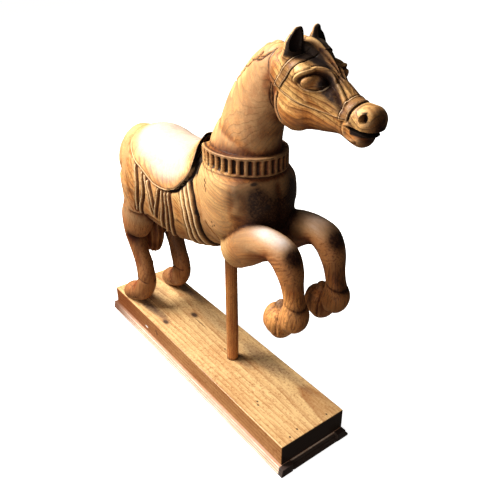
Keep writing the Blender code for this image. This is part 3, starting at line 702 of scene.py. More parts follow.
# Ridges of the brow and the nose, as (x, distance from the middle); the lip is (x, z)
BROW_RIDGE = [(327, 47), (340, 46), (354, 34), (362, 24), (372, 15.5), (382, 11.5), (397, 12.5), (413, 15.5),
              (426, 19.5)]
LIP_LINE = [(438, 783.5), (429, 780), (427, 771), (432, 762), (448, 759)]
NOSE_RIDGE = [(372, 4), (390, 4), (424, 6)]


def carve_face(points):
    """The eyes under their heavy brows, the ridges down the nose, the forelock and the lips."""
    x, y, z = points.T
    side = np.abs(y)
    along, up, out, oval = around_eye(points)
    near = step(0.03 - np.abs(out), 0.01)
    ball = near * 0.0034 * np.sqrt(np.clip(1 - oval ** 2, 0, 1))
    above = step(up + 0.001, 0.008)
    ball -= near * above * 0.0056 * ridge(oval - 1.20, 0.19)
    ball -= near * (1 - above) * 0.0020 * ridge(oval - 1.06, 0.10)
    ball += near * (1 - above) * 0.0014 * ridge(oval - 1.30, 0.12)
    ball += near * above * (0.0034 * ridge(oval - 1.60, 0.17) - 0.0014 * ridge(oval - 1.90, 0.10))
    ball -= near * 0.0056 * ridge(np.hypot(along - 0.026, (up + 0.001) * 0.8), 0.0075)
    height = ball
    on_nose = step(z - 0.800, 0.008) * step(0.428 - x, 0.006) * step(x - 0.352, 0.02)
    brow_ridge = off_line(x, side, BROW_RIDGE)
    height += on_nose * 0.0022 * ridge(brow_ridge, 0.0030)
    height -= on_nose * 0.0034 * ridge(brow_ridge - 0.0062, 0.0034) * step(x - 0.376, 0.01)
    height -= on_nose * 0.0016 * ridge(brow_ridge + 0.0046, 0.0016)
    nose_ridge = off_line(x, side, NOSE_RIDGE)
    height += on_nose * step(x - 0.385, 0.01) * 0.0010 * ridge(nose_ridge, 0.0018)
    on_lock = step(x - 0.292, 0.008) * step(0.400 - x, 0.012) * step(z - 0.832, 0.006)
    spread_out = 0.024 * np.clip((0.410 - x) / 0.10, 0.20, 1)
    lock = (y - 0.006) / spread_out
    height += on_lock * step(1.1 - np.abs(lock), 0.4) * 0.0014 * np.cos(lock * 2.6 * math.pi)
    lip = off_line(x, z, LIP_LINE)
    height += 0.0022 * ridge(lip, 0.0026) * step(x - 0.413, 0.006)
    height -= 0.0010 * ridge(lip + 0.0056, 0.0022) * step(x - 0.412, 0.006) * step(0.80 - z, 0.01)
    ring = np.hypot(x - NOSTRIL[0], z - NOSTRIL[1])
    height += 0.0006 * ridge(ring - 0.0120, 0.0026) * step(side - 0.012, 0.006)
    return height * (1 - 0.55 * step(y - 0.010, 0.010) * step(x - 0.33, 0.02))


# How far the cheek and the throat are smoothed, in metres, before anything is carved on them
CALM_PLACES = [((0.330, 0.783), (0.056, 0.040)), ((0.316, 0.846), (0.022, 0.022))]


def calm_cheek(points, edges):
    """The points with the joins between skull, cheek and jaw smoothed away."""
    x, y, z = points.T
    here = np.zeros(len(x))
    for (at_x, at_z), (reach_x, reach_z) in CALM_PLACES:
        here = np.maximum(here, step(1.0 - np.hypot((x - at_x) / reach_x, (z - at_z) / reach_z), 0.5))
    here *= step(x - 0.262, 0.02)
    calm = spread(points, edges, 150)
    return points + (calm - points) * here[:, None]


def carve_tail(points):
    """Long locks down the tail."""
    x, y, z = points.T
    turn = np.arctan2(y, -(x + 0.31))
    on_tail = step(0.395 - z, 0.02) * step(0.037 - np.abs(y), 0.004) * step(-0.235 - x, 0.01) * step(z - 0.2, 0.02)
    return on_tail * 0.0014 * (1 - 2 * np.abs(np.sin(turn * 9 + (z - 0.3) * 14)) ** 0.6)


CREST = [(85, 690), (120, 780), (165, 830), (225, 868), (285, 872)]
MANE_STROKES = [(236, 853), (226, 846), (205, 842), (179, 826), (153, 806), (138, 792)]


def mane_stroke_distance(x, z):
    nearest = np.full(len(x), 1.0)
    for u, v in np.array(MANE_STROKES) / 1000:
        stroke = curve([(u - 0.016, v - 0.004), (u, v), (u + 0.018, v + 0.014)])
        nearest = np.minimum(nearest, np.abs(line_distance(x, z, stroke)))
    return nearest


def carve_mane(points):
    """The mane lies on the left side of the neck in waved locks; a few short ones cross the crest."""
    x, y, z = points.T
    crest = np.abs(off_line(x, z, CREST))
    on_mane = step(y - 0.002, 0.008) * step(0.050 - crest, 0.012) * step(0.300 - x, 0.02) * step(z - 0.690, 0.02)
    along = x * 0.55 + z * 0.83
    locks = np.abs(np.sin(along * math.pi / 0.020 + 55 * crest + 0.5 * np.sin(crest * 150)))
    height = on_mane * (0.0062 * locks ** 0.6 - 0.0010)
    return height - 0.0022 * ridge(mane_stroke_distance(x, z), 0.0018) * step(-y + 0.002, 0.004)


# Creases of the fore and hind feet and the hooves' upper edges, as (x, z)
FORE_CREASE = [(398, 418), (383, 421.5), (366, 426), (350, 432)]
FORE_CORONET = [(350, 408), (353, 385), (353, 362), (349, 338)]
FORE_HEEL = [(322, 398), (318, 372), (316, 340)]
HIND_CREASE = [(-222, 168), (-243, 177), (-264, 168)]
HIND_CORONET = [(-258, 88), (-272, 118), (-298, 140)]


def carve_legs(points):
    """Creases above the hooves, the hooves' light upper edges and the fore hoof's heel."""
    x, y, z = points.T
    fore = step(x - 0.27, 0.02) * step(0.44 - z, 0.02)
    height = -fore * 0.0022 * ridge(off_line(x, z, FORE_CREASE), 0.0020)
    coronet = off_line(x, z, FORE_CORONET)
    height += fore * (0.0018 * ridge(coronet, 0.0028) - 0.0016 * ridge(coronet + 0.0060, 0.0030))
    height -= fore * 0.0012 * ridge(off_line(x, z, FORE_HEEL), 0.0030)
    hind = step(-0.20 - x, 0.02) * step(0.24 - z, 0.02)
    height -= hind * 0.0018 * ridge(off_line(x, z, HIND_CREASE), 0.0020)
    coronet = off_line(x, z, HIND_CORONET)
    height += hind * (0.0012 * ridge(coronet, 0.0024) - 0.0018 * ridge(coronet - 0.005, 0.0022))
    return height


SHOULDER_CREASE = [(126, 505), (148, 474), (152, 430)]
# The chest's muscle on each side, as (distance from the middle, z) in metres
CHEST_MUSCLE = [(0.071, 0.622), (0.075, 0.595), (0.074, 0.560)]


def carve_body(points):
    """The chest's muscles and the crease where the shoulder turns in to the leg."""
    x, y, z = points.T
    side = np.abs(y)
    on_chest = step(x - 0.12, 0.03) * step(0.615 - z, 0.02) * step(z - 0.44, 0.03)
    middle = ridge(side, 0.010) * step(x - 0.20, 0.02)
    muscle = ridge(line_distance(side, z, CHEST_MUSCLE), 0.0075) * step(x - 0.185, 0.02)
    height = on_chest * (0.0030 * muscle - 0.0028 * middle)
    crease = off_line(x, z, SHOULDER_CREASE)
    return height - step(side - 0.05, 0.02) * 0.0030 * ridge(crease, 0.0060)


def tool_marks(points):
    """Shallow facets left by the gouge."""
    size = 0.020
    marks = [noise.noise(Vector(p) / size) for p in points]
    return 0.0006 * np.array(marks)


# ---------------------------------------------------------------- the horse's surface attributes


def spread(values, edges, times):
    """The values after averaging each vertex with its neighbours a number of times."""
    count = len(values)
    a, b = edges.T
    share = np.bincount(a, minlength=count) + np.bincount(b, minlength=count)
    out = values.reshape(count, -1).T.copy()
    for _ in range(times):
        for column in out:
            around = np.bincount(a, column[b], count) + np.bincount(b, column[a], count)
            column[:] = 0.5 * column + 0.5 * around / np.maximum(share, 1)
    return out.T.reshape(values.shape)


def paint(mesh, name, values):
    layer = mesh.attributes.new(name, "FLOAT", "POINT")
    layer.data.foreach_set("value", np.ascontiguousarray(values, np.float32))


def paint_share(mesh, name, values):
    paint(mesh, name, np.clip(values, 0, 1))


def paint_places(mesh, name, places, domain="POINT"):
    layer = mesh.attributes.new(name, "FLOAT_VECTOR", domain)
    layer.data.foreach_set("vector", places.astype(np.float32).ravel())


# The timbers that the horse is built up from: a place on the pith, the way the grain runs, and the rings' spacing
TIMBERS = {
    "body": ((0.02, 0.13, 0.36), (0.94, 0.10, -0.32), 0.0056),
    "neck": ((0.190, 0.16, 0.70), (-0.45, 0.55, 0.70), 0.0085),
    "head": ((0.35, 0.10, 0.66), (0.93, 0.10, -0.30), 0.0090),
    "fore": ((0.25, 0.15, 0.40), (0.80, 0.10, 0.35), 0.0062),
    "foot": ((0.34, 0.13, 0.40), (0.12, 0.08, 1.0), 0.0056),
    "hind": ((-0.20, 0.15, 0.30), (0.15, 0.08, 1.0), 0.0056),
    "tail": ((-0.36, 0.05, 0.35), (0.10, 0.0, 1.0), 0.0050),
}


def timber_of(centres):
    """Which timber each place belongs to."""
    x, y, z = centres.T
    names = list(TIMBERS)
    chosen = np.full(len(x), names.index("body"))
    above_collar = z > 0.655 + 0.15 * (x - 0.143)
    chosen[above_collar & (x > 0.060)] = names.index("neck")
    chosen[above_collar & (x > 0.268 - 0.25 * (z - 0.80))] = names.index("head")
    chosen[(x > 0.185) & (z < 0.545) & (x + 0.6 * (z - 0.5) > 0.215)] = names.index("fore")
    chosen[(x > 0.30) & (z < 0.475)] = names.index("foot")
    chosen[(x < -0.15) & (z < 0.395)] = names.index("hind")
    chosen[(x < -0.23) & (np.abs(y) < 0.036) & (z < 0.40) & (z > 0.19)] = names.index("tail")
    return chosen


def grain_frame(along):
    """The turn from a timber's own axes, whose Z is its grain."""
    return Vector(along).to_track_quat("Z", "Y").to_matrix()


def lay_grain(mesh):
    """Each corner's place in its own timber, whose Z runs along the grain, in units of its rings' spacing."""
    points = mesh_shape(mesh)[0]
    corner_vertex = np.empty(len(mesh.loops), np.int32)
    mesh.loops.foreach_get("vertex_index", corner_vertex)
    corner_face = np.repeat(np.arange(len(mesh.polygons)), [p.loop_total for p in mesh.polygons])
    centres = np.array([p.center for p in mesh.polygons])
    chosen = timber_of(centres)
    left = centres[:, 1] > 0
    corners = points[corner_vertex]
    out = np.zeros((len(corners), 3))
    for number, (pith, along, spacing) in enumerate(TIMBERS.values()):
        turn = np.array(grain_frame(along))
        for on_left in (False, True):
            mine = ((chosen == number) & (left == on_left))[corner_face]
            sign = (1, -1, 1) if on_left and number >= 3 else (1, 1, 1)
            out[mine] = (corners[mine] * sign - np.array(pith)) @ turn / spacing
    paint_places(mesh, "grain", out, "CORNER")


def metres(oval):
    """An oval's middle and size, from six millimetre figures."""
    values = [v / 1000 for v in oval]
    return values[:3], values[3:]


def blot(points, place, size):
    """1 at a place, fading over a size given along x, y and z."""
    offset = (points - np.array(place)) / np.array(size)
    return np.exp(-(offset ** 2).sum(axis=1))


def beyond(distance, here, far=0.1):
    """The distance, pushed far away on its own side wherever it doesn't apply."""
    return distance + np.sign(distance) * (1 - here) * far


# Dark ovals in millimetres, each with its strength; one whose y is 10 or less is on both sides.
# Dark stain on the knees, legs and hooves, dark stain and painted shade on the chest and the muzzle, painted shade
# around the eye
DARK_PLACES = [(402, -18, 830, 10, 6, 14, 0.5), (490, 4, 800, 20, 22, 22, 1.0), (480, 0, 782, 16, 22, 10, 0.7),
               (470, 0, 760, 16, 22, 10, 0.9), (447, -20, 787, 8, 12, 7, 0.7), (206, -76, 596, 16, 20, 22, 0.75),
               (238, -46, 588, 20, 22, 34, 1.2), (250, -10, 556, 30, 44, 42, 1.4), (215, -30, 500, 50, 50, 40, 1.2),
               (366, -54, 525, 15, 24, 15, 1.6), (374, -52, 508, 12, 18, 12, 0.5), (338, -66, 541, 16, 16, 8, 0.25),
               (345, 40, 540, 30, 30, 10, 0.45), (386, -28, 829, 10, 10, 10, 0.9), (398, -27, 819, 11, 8, 10, 0.8),
               (377, -22, 844, 8, 8, 9, 0.6), (300, 36, 392, 20, 20, 20, 1.4), (326, 34, 372, 8, 20, 20, 0.9),
               (388, -60, 416, 12, 18, 9, 1.0), (395, 52, 445, 16, 20, 30, 0.8), (325, -58, 404, 20, 24, 8, 1.0),
               (318, -50, 335, 24, 34, 14, 0.4), (-262, -72, 300, 24, 20, 30, 0.7), (-252, 50, 235, 30, 30, 50, 0.8),
               (-300, -60, 100, 40, 40, 14, 0.5)]
# Painted highlights, ovals in millimetres: the right forearm and knee, the left knee and the right fore hoof
HIGHLIGHT_PLACES = [(290, -64, 548, 34, 16, 14), (330, -62, 546, 26, 14, 12), (300, 53, 552, 44, 24, 14),
                (334, -62, 410, 16, 20, 10)]
# Knots and short cracks in the wood, in millimetres
KNOTS = [(-307, -61, 502, 6, 12, 7), (230, -44, 617, 6, 9, 4), (252, -28, 572, 10, 7, 7), (87, -83, 514, 7, 12, 8),
         (131, -91, 605, 2, 10, 5), (137, -92, 602, 1.8, 10, 3.5), (134, -93, 595, 2, 10, 5),
         (139, -93, 588, 1.8, 10, 6), (152, -88, 520, 3, 10, 2.4), (160, -88, 515, 2.4, 10, 2.4),
         (154, -88, 511, 2.4, 10, 2), (350, -80, 300, 4, 10, 4)]
# Ovals painted black for shade, in millimetres: the ears' hollows and the brow between them, on both sides
SHADE_OVALS = [(322, -22, 880, 16, 18, 14), (336, -14, 872, 20, 18, 13), (352, -10, 861, 16, 12, 11),
        (368, -8, 850, 12, 9, 9), (384, -17, 838, 8, 8, 10)]


def paint_horse(mesh):
    points = mesh_shape(mesh)[0]
    x, y, z = points.T
    side = np.abs(y)
    folded = points * (1, -1, 1)
    folded[:, 1] = -side
    edges = edges_of(mesh)
    normals = vertex_normals(mesh)
    fine = ((points - spread(points, edges, 6)) * normals).sum(axis=1)
    broad = ((points - spread(points, edges, 40)) * normals).sum(axis=1)
    grooves = carve_cloth(points) + carve_bridle(points) + carve_face(points) + carve_legs(points)
    # Painted shade and grime: darker in hollows, creases and carved grooves
    crease = 0.7 * np.clip(-fine / 0.0006, 0, 1) + 0.6 * np.clip(-broad / 0.0025, 0, 1)
    crease += 0.6 * np.clip(-grooves / 0.0020, 0, 1)
    paint(mesh, "crease", spread(np.clip(crease, 0, 1), edges, 1))
    # Paler on ridges and raised forms: wear, and painted highlight
    wear_and_highlight = np.clip(fine / 0.0006, 0, 1) + 0.6 * np.clip(broad / 0.0030, 0, 1)
    paint(mesh, "wear_and_highlight", spread(np.clip(wear_and_highlight, 0, 1), edges, 1))
    # Painted shade and light: darker on what faces forward and down, away from the window lamp, lighter on what faces
    # up, back and out.
    # More painted shade on the chest, the throat, under the jaw and on the front of the neck, painted light on the
    # crest of the neck, the fore feet and the tops of the forearms; the hind legs and the rump are darker in tone,
    # the upper face lighter.
    broad_normals = spread(normals, edges, 30)
    broad_normals[:, 1] *= np.tanh(y / 0.010)
    facing = broad_normals @ np.array([-0.52, 0.46, 0.70])
    tone_and_shade = 0.56 - 0.52 * facing
    tone_and_shade += 0.45 * step(0.39 - z, 0.10) * step(-0.12 - x, 0.06)
    tone_and_shade -= 0.22 * step(0.48 - z, 0.06) * step(x - 0.28, 0.04)
    tone_and_shade += 0.55 * step(x - 0.205, 0.05) * step(0.65 - z, 0.02) * step(z - 0.46, 0.04)
    throat = 0.50 * step(x - 0.150 - 0.60 * (z - 0.66), 0.09) * step(z - 0.65, 0.02)
    tone_and_shade += throat * step(0.268 - x, 0.03) * step(0.85 - z, 0.04)
    tone_and_shade += 0.25 * step(0.765 - z, 0.03) * step(x - 0.26, 0.02) * step(z - 0.70, 0.02)
    tone_and_shade += 0.20 * step(-0.20 - x, 0.06) * step(z - 0.40, 0.04)
    on_neck = step(z - 0.66, 0.02) * step(0.86 - z, 0.04) * step(0.28 - x, 0.03)
    tone_and_shade -= 0.16 * on_neck * step(0.10 + 0.5 * (z - 0.66) - x, 0.06)
    tone_and_shade += 0.50 * on_neck * step(x - 0.10 - 0.5 * (z - 0.66), 0.06)
    tone_and_shade -= 0.14 * step(x - 0.29, 0.03) * step(z - 0.775, 0.02)
    tone_and_shade += 0.20 * step(0.775 - z, 0.02) * step(x - 0.26, 0.02) * step(z - 0.70, 0.02)
    tone_and_shade -= 0.12 * step(x - 0.20, 0.04) * step(0.50 - z, 0.02) * step(z - 0.44, 0.02)
    paint_share(mesh, "tone_and_shade", tone_and_shade)
    # Dark stains and painted shade in the dark ovals and around the eye; the ears' hollows, the nostrils and the
    # mouth are painted black for shade
    stain_and_shade = np.zeros(len(x))
    for *oval, strength in DARK_PLACES:
        stain_and_shade += strength * blot(points if oval[1] > 10 else folded, *metres(oval))
    ears = step(z - 0.866, 0.008) * step(normals[:, 0] - 0.02, 0.30)
    ears *= step(x - 0.292, 0.01)
    ears *= step(side - 0.008, 0.006)
    wedge = line_distance(x, z, [(0.384, 0.836), (0.400, 0.823), (0.424, 0.802)])
    wedge = 0.95 * ridge(wedge, 0.0085) * step(side - 0.013, 0.005)
    stain_and_shade += wedge * step(0.036 - side, 0.006) * step(z - 0.79, 0.01)
    ring = np.hypot(x - NOSTRIL[0], z - NOSTRIL[1])
    hole = step(0.0098 - ring, 0.001) * step(side - 0.006, 0.004) * step(0.0215 - side, 0.002)
    hole *= step(NOSTRIL[0] + 0.0035 - x, 0.002)
    in_mouth = np.hypot((x - LIPS_X) / LIPS_HALF_LENGTH, y / LIPS_HALF_WIDTH)
    in_mouth = step(1.03 - in_mouth, 0.05) * step(z - LIPS_Z + 0.0052, 0.001) * step(LIPS_Z + 0.0072 - z, 0.001)
    in_mouth *= step(x - 0.428, 0.002)
    paint_share(mesh, "stain_and_shade", stain_and_shade)
    paint_places(mesh, "place", points)
    red = 1.1 * step(0.40 - z, 0.10) * step(-0.12 - x, 0.06) + 0.25 * step(0.47 - z, 0.10) * step(x - 0.30, 0.05)
    on_side, cloth, nearest, place, from_back, from_front = cloth_places(points)
    paint(mesh, "fold", nearest + 0.1 * (1 - cloth))
    on_girth = step(from_back, 0.002) * step(-from_front, 0.002) * on_side
    paint(mesh, "girth", place + 9 * (1 - on_girth))
    paint_share(mesh, "red", red)
    # Painted shade: black in the gaps and grooves around the saddle, the girth and the collar, under the saddle's
    # front arch, and in the ears, the nostrils and the mouth
    before_saddle = line_distance(x, around_barrel(points), unrolled(SADDLE_RIM[7:12], 0.007))
    shaded_gap = ridge(before_saddle, 0.0085) * step(0.668 - z, 0.01)
    shaded_gap += step(x - 0.022, 0.006) * step(0.058 - x, 0.006) * step(z - 0.600, 0.01) * step(normals[:, 0] - 0.35, 0.3)
    shaded_gap += on_side * (ridge(from_front, 0.0042) + 0.8 * ridge(from_back, 0.0030))
    from_rim = saddle_distance(points)
    before_collar = step(x - 0.026, 0.006) * step(COLLAR_BACK - x, 0.003) * step(z - 0.590, 0.01)
    shaded_gap += before_collar * step(0.664 - z, 0.006) * (from_rim > 0.0005)
    reach = 0.0030 + 0.0085 * step(x - 0.016, 0.034)
    shaded_gap += inside_rim(x, around_barrel(points)) * (from_rim > 0) * (x > -0.03) * (z < 0.668) * (z > 0.48)
    shaded_gap += step(from_rim + 0.0004, 0.0008) * step(reach - from_rim, 0.003) * step(x + 0.020, 0.02)
    for oval in SHADE_OVALS:
        shaded_gap += 1.2 * blot(folded, *metres(oval))
    shaded_gap += ears + hole + in_mouth
    paint_share(mesh, "shaded_gap", shaded_gap)
    paint(mesh, "rim", from_rim)
    # Painted highlights on the right forearm, the knees, the right fore hoof and the saddle's seat
    forearm, knee, left_knee, hoof = [blot(points, *metres(oval)) for oval in HIGHLIGHT_PLACES]
    painted_highlight = 1.1 * np.maximum(forearm, knee) + 0.5 * left_knee + 0.6 * hoof
    painted_highlight += 0.7 * step(-from_rim - 0.030, 0.040) * step(x + 0.22, 0.08)
    paint_share(mesh, "painted_highlight", painted_highlight)
    calm = step(x - 0.19, 0.03) * step(0.56 - z, 0.02) * step(z - 0.465, 0.02)
    paint_share(mesh, "calm", calm + step(0.40 - z, 0.02) * step(x - 0.28, 0.03))
    shank = step(x - 0.30, 0.03) * step(0.525 - z, 0.02) + step(0.36 - z, 0.04) * step(-0.10 - x, 0.04)
    paint_share(mesh, "shank", shank + 0.5 * step(x - 0.20, 0.03) * step(0.50 - z, 0.02))
    # The bridle's and the eye's lines
    _, head_side, bands, (rein, latch, jaw) = bridle_places(points)
    across = np.minimum(*[np.abs(distance) + 20 * (1 - here) for distance, here in bands])
    paint(mesh, "band", np.minimum(across, 9))
    paint(mesh, "jaw", beyond(jaw, head_side * step(z - 0.752, 0.006) * step(0.806 - z, 0.006)))
    paint(mesh, "rein", beyond(rein, head_side))
    paint(mesh, "nape", beyond(rein, head_side * step(0.297 - x, 0.004)))
    paint(mesh, "latch", beyond(latch, head_side * step(z - 0.745, 0.006) * step(0.818 - z, 0.006)))
    along, up, out, oval = around_eye(points)
    at_eye = step(0.03 - np.abs(out), 0.01) * step(z - 0.79, 0.01)
    paint(mesh, "lid", np.minimum(oval + 6 * (1 - at_eye * step(-up - 0.002, 0.006)), 6))
    # The socket value is painted shade: the hollow above the eye, its inner corner and the eyeball's front part
    above = step(up + 0.002, 0.006)
    inner_corner = ridge(np.hypot(along - 0.026, up * 0.8), 0.0090)
    socket = at_eye * (above * 1.3 * ridge(oval - 1.18, 0.20) + 1.3 * inner_corner)
    paint(mesh, "brow", np.minimum(oval + 6 * (1 - at_eye * step(up - 0.002, 0.006) * step(x - 0.330, 0.01)), 6))
    ball = at_eye * step(1 - oval, 0.1)
    paint(mesh, "ball", ball)
    socket += ball * 0.8 * step(along - 0.004, 0.014)
    paint_share(mesh, "socket", socket)
    mane = mane_stroke_distance(x, z) + 0.05 * (1 - step(0.012 - y, 0.004)) + 0.05 * step(-0.030 - y, 0.004)
    paint(mesh, "stroke", mane)
    # The collar's flutes and edges, with painted shade in the flutes, along the groove under its rim, at its foot and
    # on the ledge inside its rim
    turn = np.arctan2(y / COLLAR_HALF_WIDTH, (x - COLLAR_X) / COLLAR_HALF_LENGTH)
    level = collar_height(x, z)
    on_collar = step(x - COLLAR_BACK + 0.002, 0.002) * step(level - COLLAR_BOTTOM, 0.002)
    on_collar *= step(COLLAR_TOP + 0.001 - level, 0.002)
    ellipse = np.hypot((x - COLLAR_X) / COLLAR_HALF_LENGTH, y / COLLAR_HALF_WIDTH)
    on_collar *= step(ellipse - 0.86, 0.04)
    within, _ = flute_depth(turn % (2 * math.pi), level)
    paint(mesh, "flute", np.minimum(within, 0.003) * flute_strength(x) - 0.02 * (1 - on_collar))
    line = ridge(level - COLLAR_TOP + 0.0025, 0.0008) + 0.9 * ridge(level - COLLAR_BOTTOM + 0.0010, 0.0014)
    line = line * step(x - COLLAR_BACK, 0.003) * step(ellipse - 0.90, 0.04)
    under_ledge = 1.2 * step(level - COLLAR_TOP + 0.002, 0.001) * step(COLLAR_TOP + 0.004 - level, 0.004)
    line += under_ledge * ridge(ellipse - 0.915, 0.030)
    paint_share(mesh, "collar_line", line * step(x - COLLAR_BACK, 0.003))


# ---------------------------------------------------------------- the horse's mesh


def neck_foot():
    """The neck's spread into the collar."""
    return limb([(138, 0, 630, 66, 90, 0.1), (144, 0, 660, 63, 87, 0.1), (150, 0, 690, 54, 79, 0.2)], (0.2, 0.2))


def edges_of(mesh):
    edges = np.empty(len(mesh.edges) * 2, np.int32)
    mesh.edges.foreach_get("vertices", edges)
    return edges.reshape(-1, 2)


def horse(material):
    forms = [barrel(), breast(), neck(), neck_foot()] + head() + ears() + forelegs() + hindlegs() + tail()
    rough = add_object("rough", forms, material)
    fuse(rough, VOXEL, BLEND)
    body = take_mesh(rough)
    carved = add_object("carved", [mesh_shape(body), collar(), saddle(body)], material)
    fuse(carved, VOXEL, 2)
    ground = box((-0.45, -0.2, BLOCK_TOP - 0.05), (-0.15, 0.2, BLOCK_TOP + GAP))
    hollows = add_cutter("hollows", ear_hollows() + nostrils() + [mouth(), ground], material)
    socket_low = POLE_LOW[2] - GAP
    socket = cylinder(POLE_X, 0, socket_low, POLE_HIGH[2] + GAP, POLE_RADIUS + GAP, 64)
    socket = add_cutter("socket", [socket], material)
    mesh = take_mesh(carved)
    points = calm_cheek(mesh_shape(mesh)[0], edges_of(mesh))
    move_points(mesh, points)
    height = carve_cloth(points) + carve_bridle(points) + carve_face(points) + carve_tail(points)
    height += carve_mane(points) + carve_legs(points) + carve_body(points) + tool_marks(points)
    points += vertex_normals(mesh) * height[:, None]
    move_points(mesh, points)
    obj = new_object("carousel_horse", mesh)
    cut(obj, hollows)
    cut(obj, socket)
    plain = obj.vertex_groups.new(name="plain")
    x, y, z = points.T
    carved_here = np.maximum.reduce([
        step(x - 0.26, 0.02) * step(z - 0.74, 0.02),
        step(z - COLLAR_BOTTOM + 0.005, 0.004) * step(COLLAR_TOP + 0.003 - z, 0.004),
        0.6 * step(np.abs(height) - 0.001, 0.001),
    ])
    for level in range(5):
        chosen = np.nonzero(np.round(carved_here * 4) == level)[0]
        plain.add(chosen.tolist(), 1 - level / 5, "REPLACE")
    decimate = obj.modifiers.new("facets", "DECIMATE")
    decimate.ratio = HORSE_TRIANGLES / (2 * len(mesh.polygons))
    decimate.vertex_group = "plain"
    decimate.vertex_group_factor = 0.0005
    final = take_mesh(obj)
    for cutter in (hollows, socket):
        bpy.data.objects.remove(cutter)
    paint_horse(final)
    lay_grain(final)
    final.shade_smooth()
    final.set_sharp_from_angle(angle=math.radians(50))
    return new_object("carousel_horse", final)


def cylinder(x, y, bottom, top, radius, sides):
    turns = [2 * math.pi * k / sides for k in range(sides)]
    circle = [(x + radius * math.cos(a), y + radius * math.sin(a)) for a in turns]
    loops = [np.array([(*place, z) for place in circle]) for z in (top, bottom)]
    return stack(loops)


def box(low, high):
    (x0, y0, z0), (x1, y1, z1) = low, high
    loop = [(x0, y0), (x1, y0), (x1, y1), (x0, y1)]
    return stack([np.array([(x, y, z) for x, y in loop]) for z in (z1, z0)])


# ---------------------------------------------------------------- materials


tree = None  # the node tree that is being built


def add(kind, inputs=None, **settings):
    """A shader node; each input is a value, or another node's output to link."""
    made = tree.nodes.new(kind)
    for name, value in settings.items():
        setattr(made, name, value)
    for name, value in (inputs or {}).items():
        socket = made.inputs[name]
        if isinstance(value, bpy.types.NodeSocket):
            tree.links.new(value, socket)
        else:
            socket.default_value = value
    return made


def calc(operation, a, b=0.5, c=0.5, clamp=False):
    made = add("ShaderNodeMath", {0: a, 1: b, 2: c}, operation=operation, use_clamp=clamp)
    return made.outputs[0]


def vector(operation, a, b):
    made = add("ShaderNodeVectorMath", {0: a, 1: b}, operation=operation)
    return made.outputs["Value" if operation == "LENGTH" else "Vector"]


def speckle(place, scale, detail=2.0, roughness=0.5, output="Fac"):
    made = add("ShaderNodeTexNoise", {"Vector": place, "Scale": scale, "Detail": detail, "Roughness": roughness})
    return made.outputs[output]


def ramp(value, low, high):
    made = add("ShaderNodeMapRange", {"Value": value, "From Min": low, "From Max": high})
    return made.outputs["Result"]


def mix(share, under, over, blend="MIX"):
    made = add("ShaderNodeMix", {"Factor": share}, data_type="RGBA", blend_type=blend)
    for socket, value in ((made.inputs[6], under), (made.inputs[7], over)):
        if isinstance(value, bpy.types.NodeSocket):
            tree.links.new(value, socket)
        else:
            socket.default_value = (*value, 1)
    return made.outputs[2]


def attribute(name, output="Fac"):
    return add("ShaderNodeAttribute", attribute_name=name).outputs[output]


def stripe(value, middle, half_width):
    """1 on a line where the value is near its middle, 0 beyond."""
    away = calc("ABSOLUTE", calc("SUBTRACT", value, middle))
    return ramp(away, 1.35 * half_width, 0.65 * half_width)


def mark(name, middle, half_width, share=None):
    """A line where a painted value is near its middle, at full strength or a share of it."""
    line = stripe(attribute(name), middle, half_width)
    return scaled(line, share) if share else line


def spot(place, middle, size):
    """1 inside an oval, fading out around it."""
    offset = vector("SUBTRACT", place, middle)
    reach = vector("LENGTH", vector("DIVIDE", offset, size), (0, 0, 0))
    return ramp(reach, 1.25, 0.6)


def most(first, *others):
    for other in others:
        first = calc("MAXIMUM", first, other)
    return first


def scaled(value, factor):
    return calc("MULTIPLY", value, factor, clamp=True)


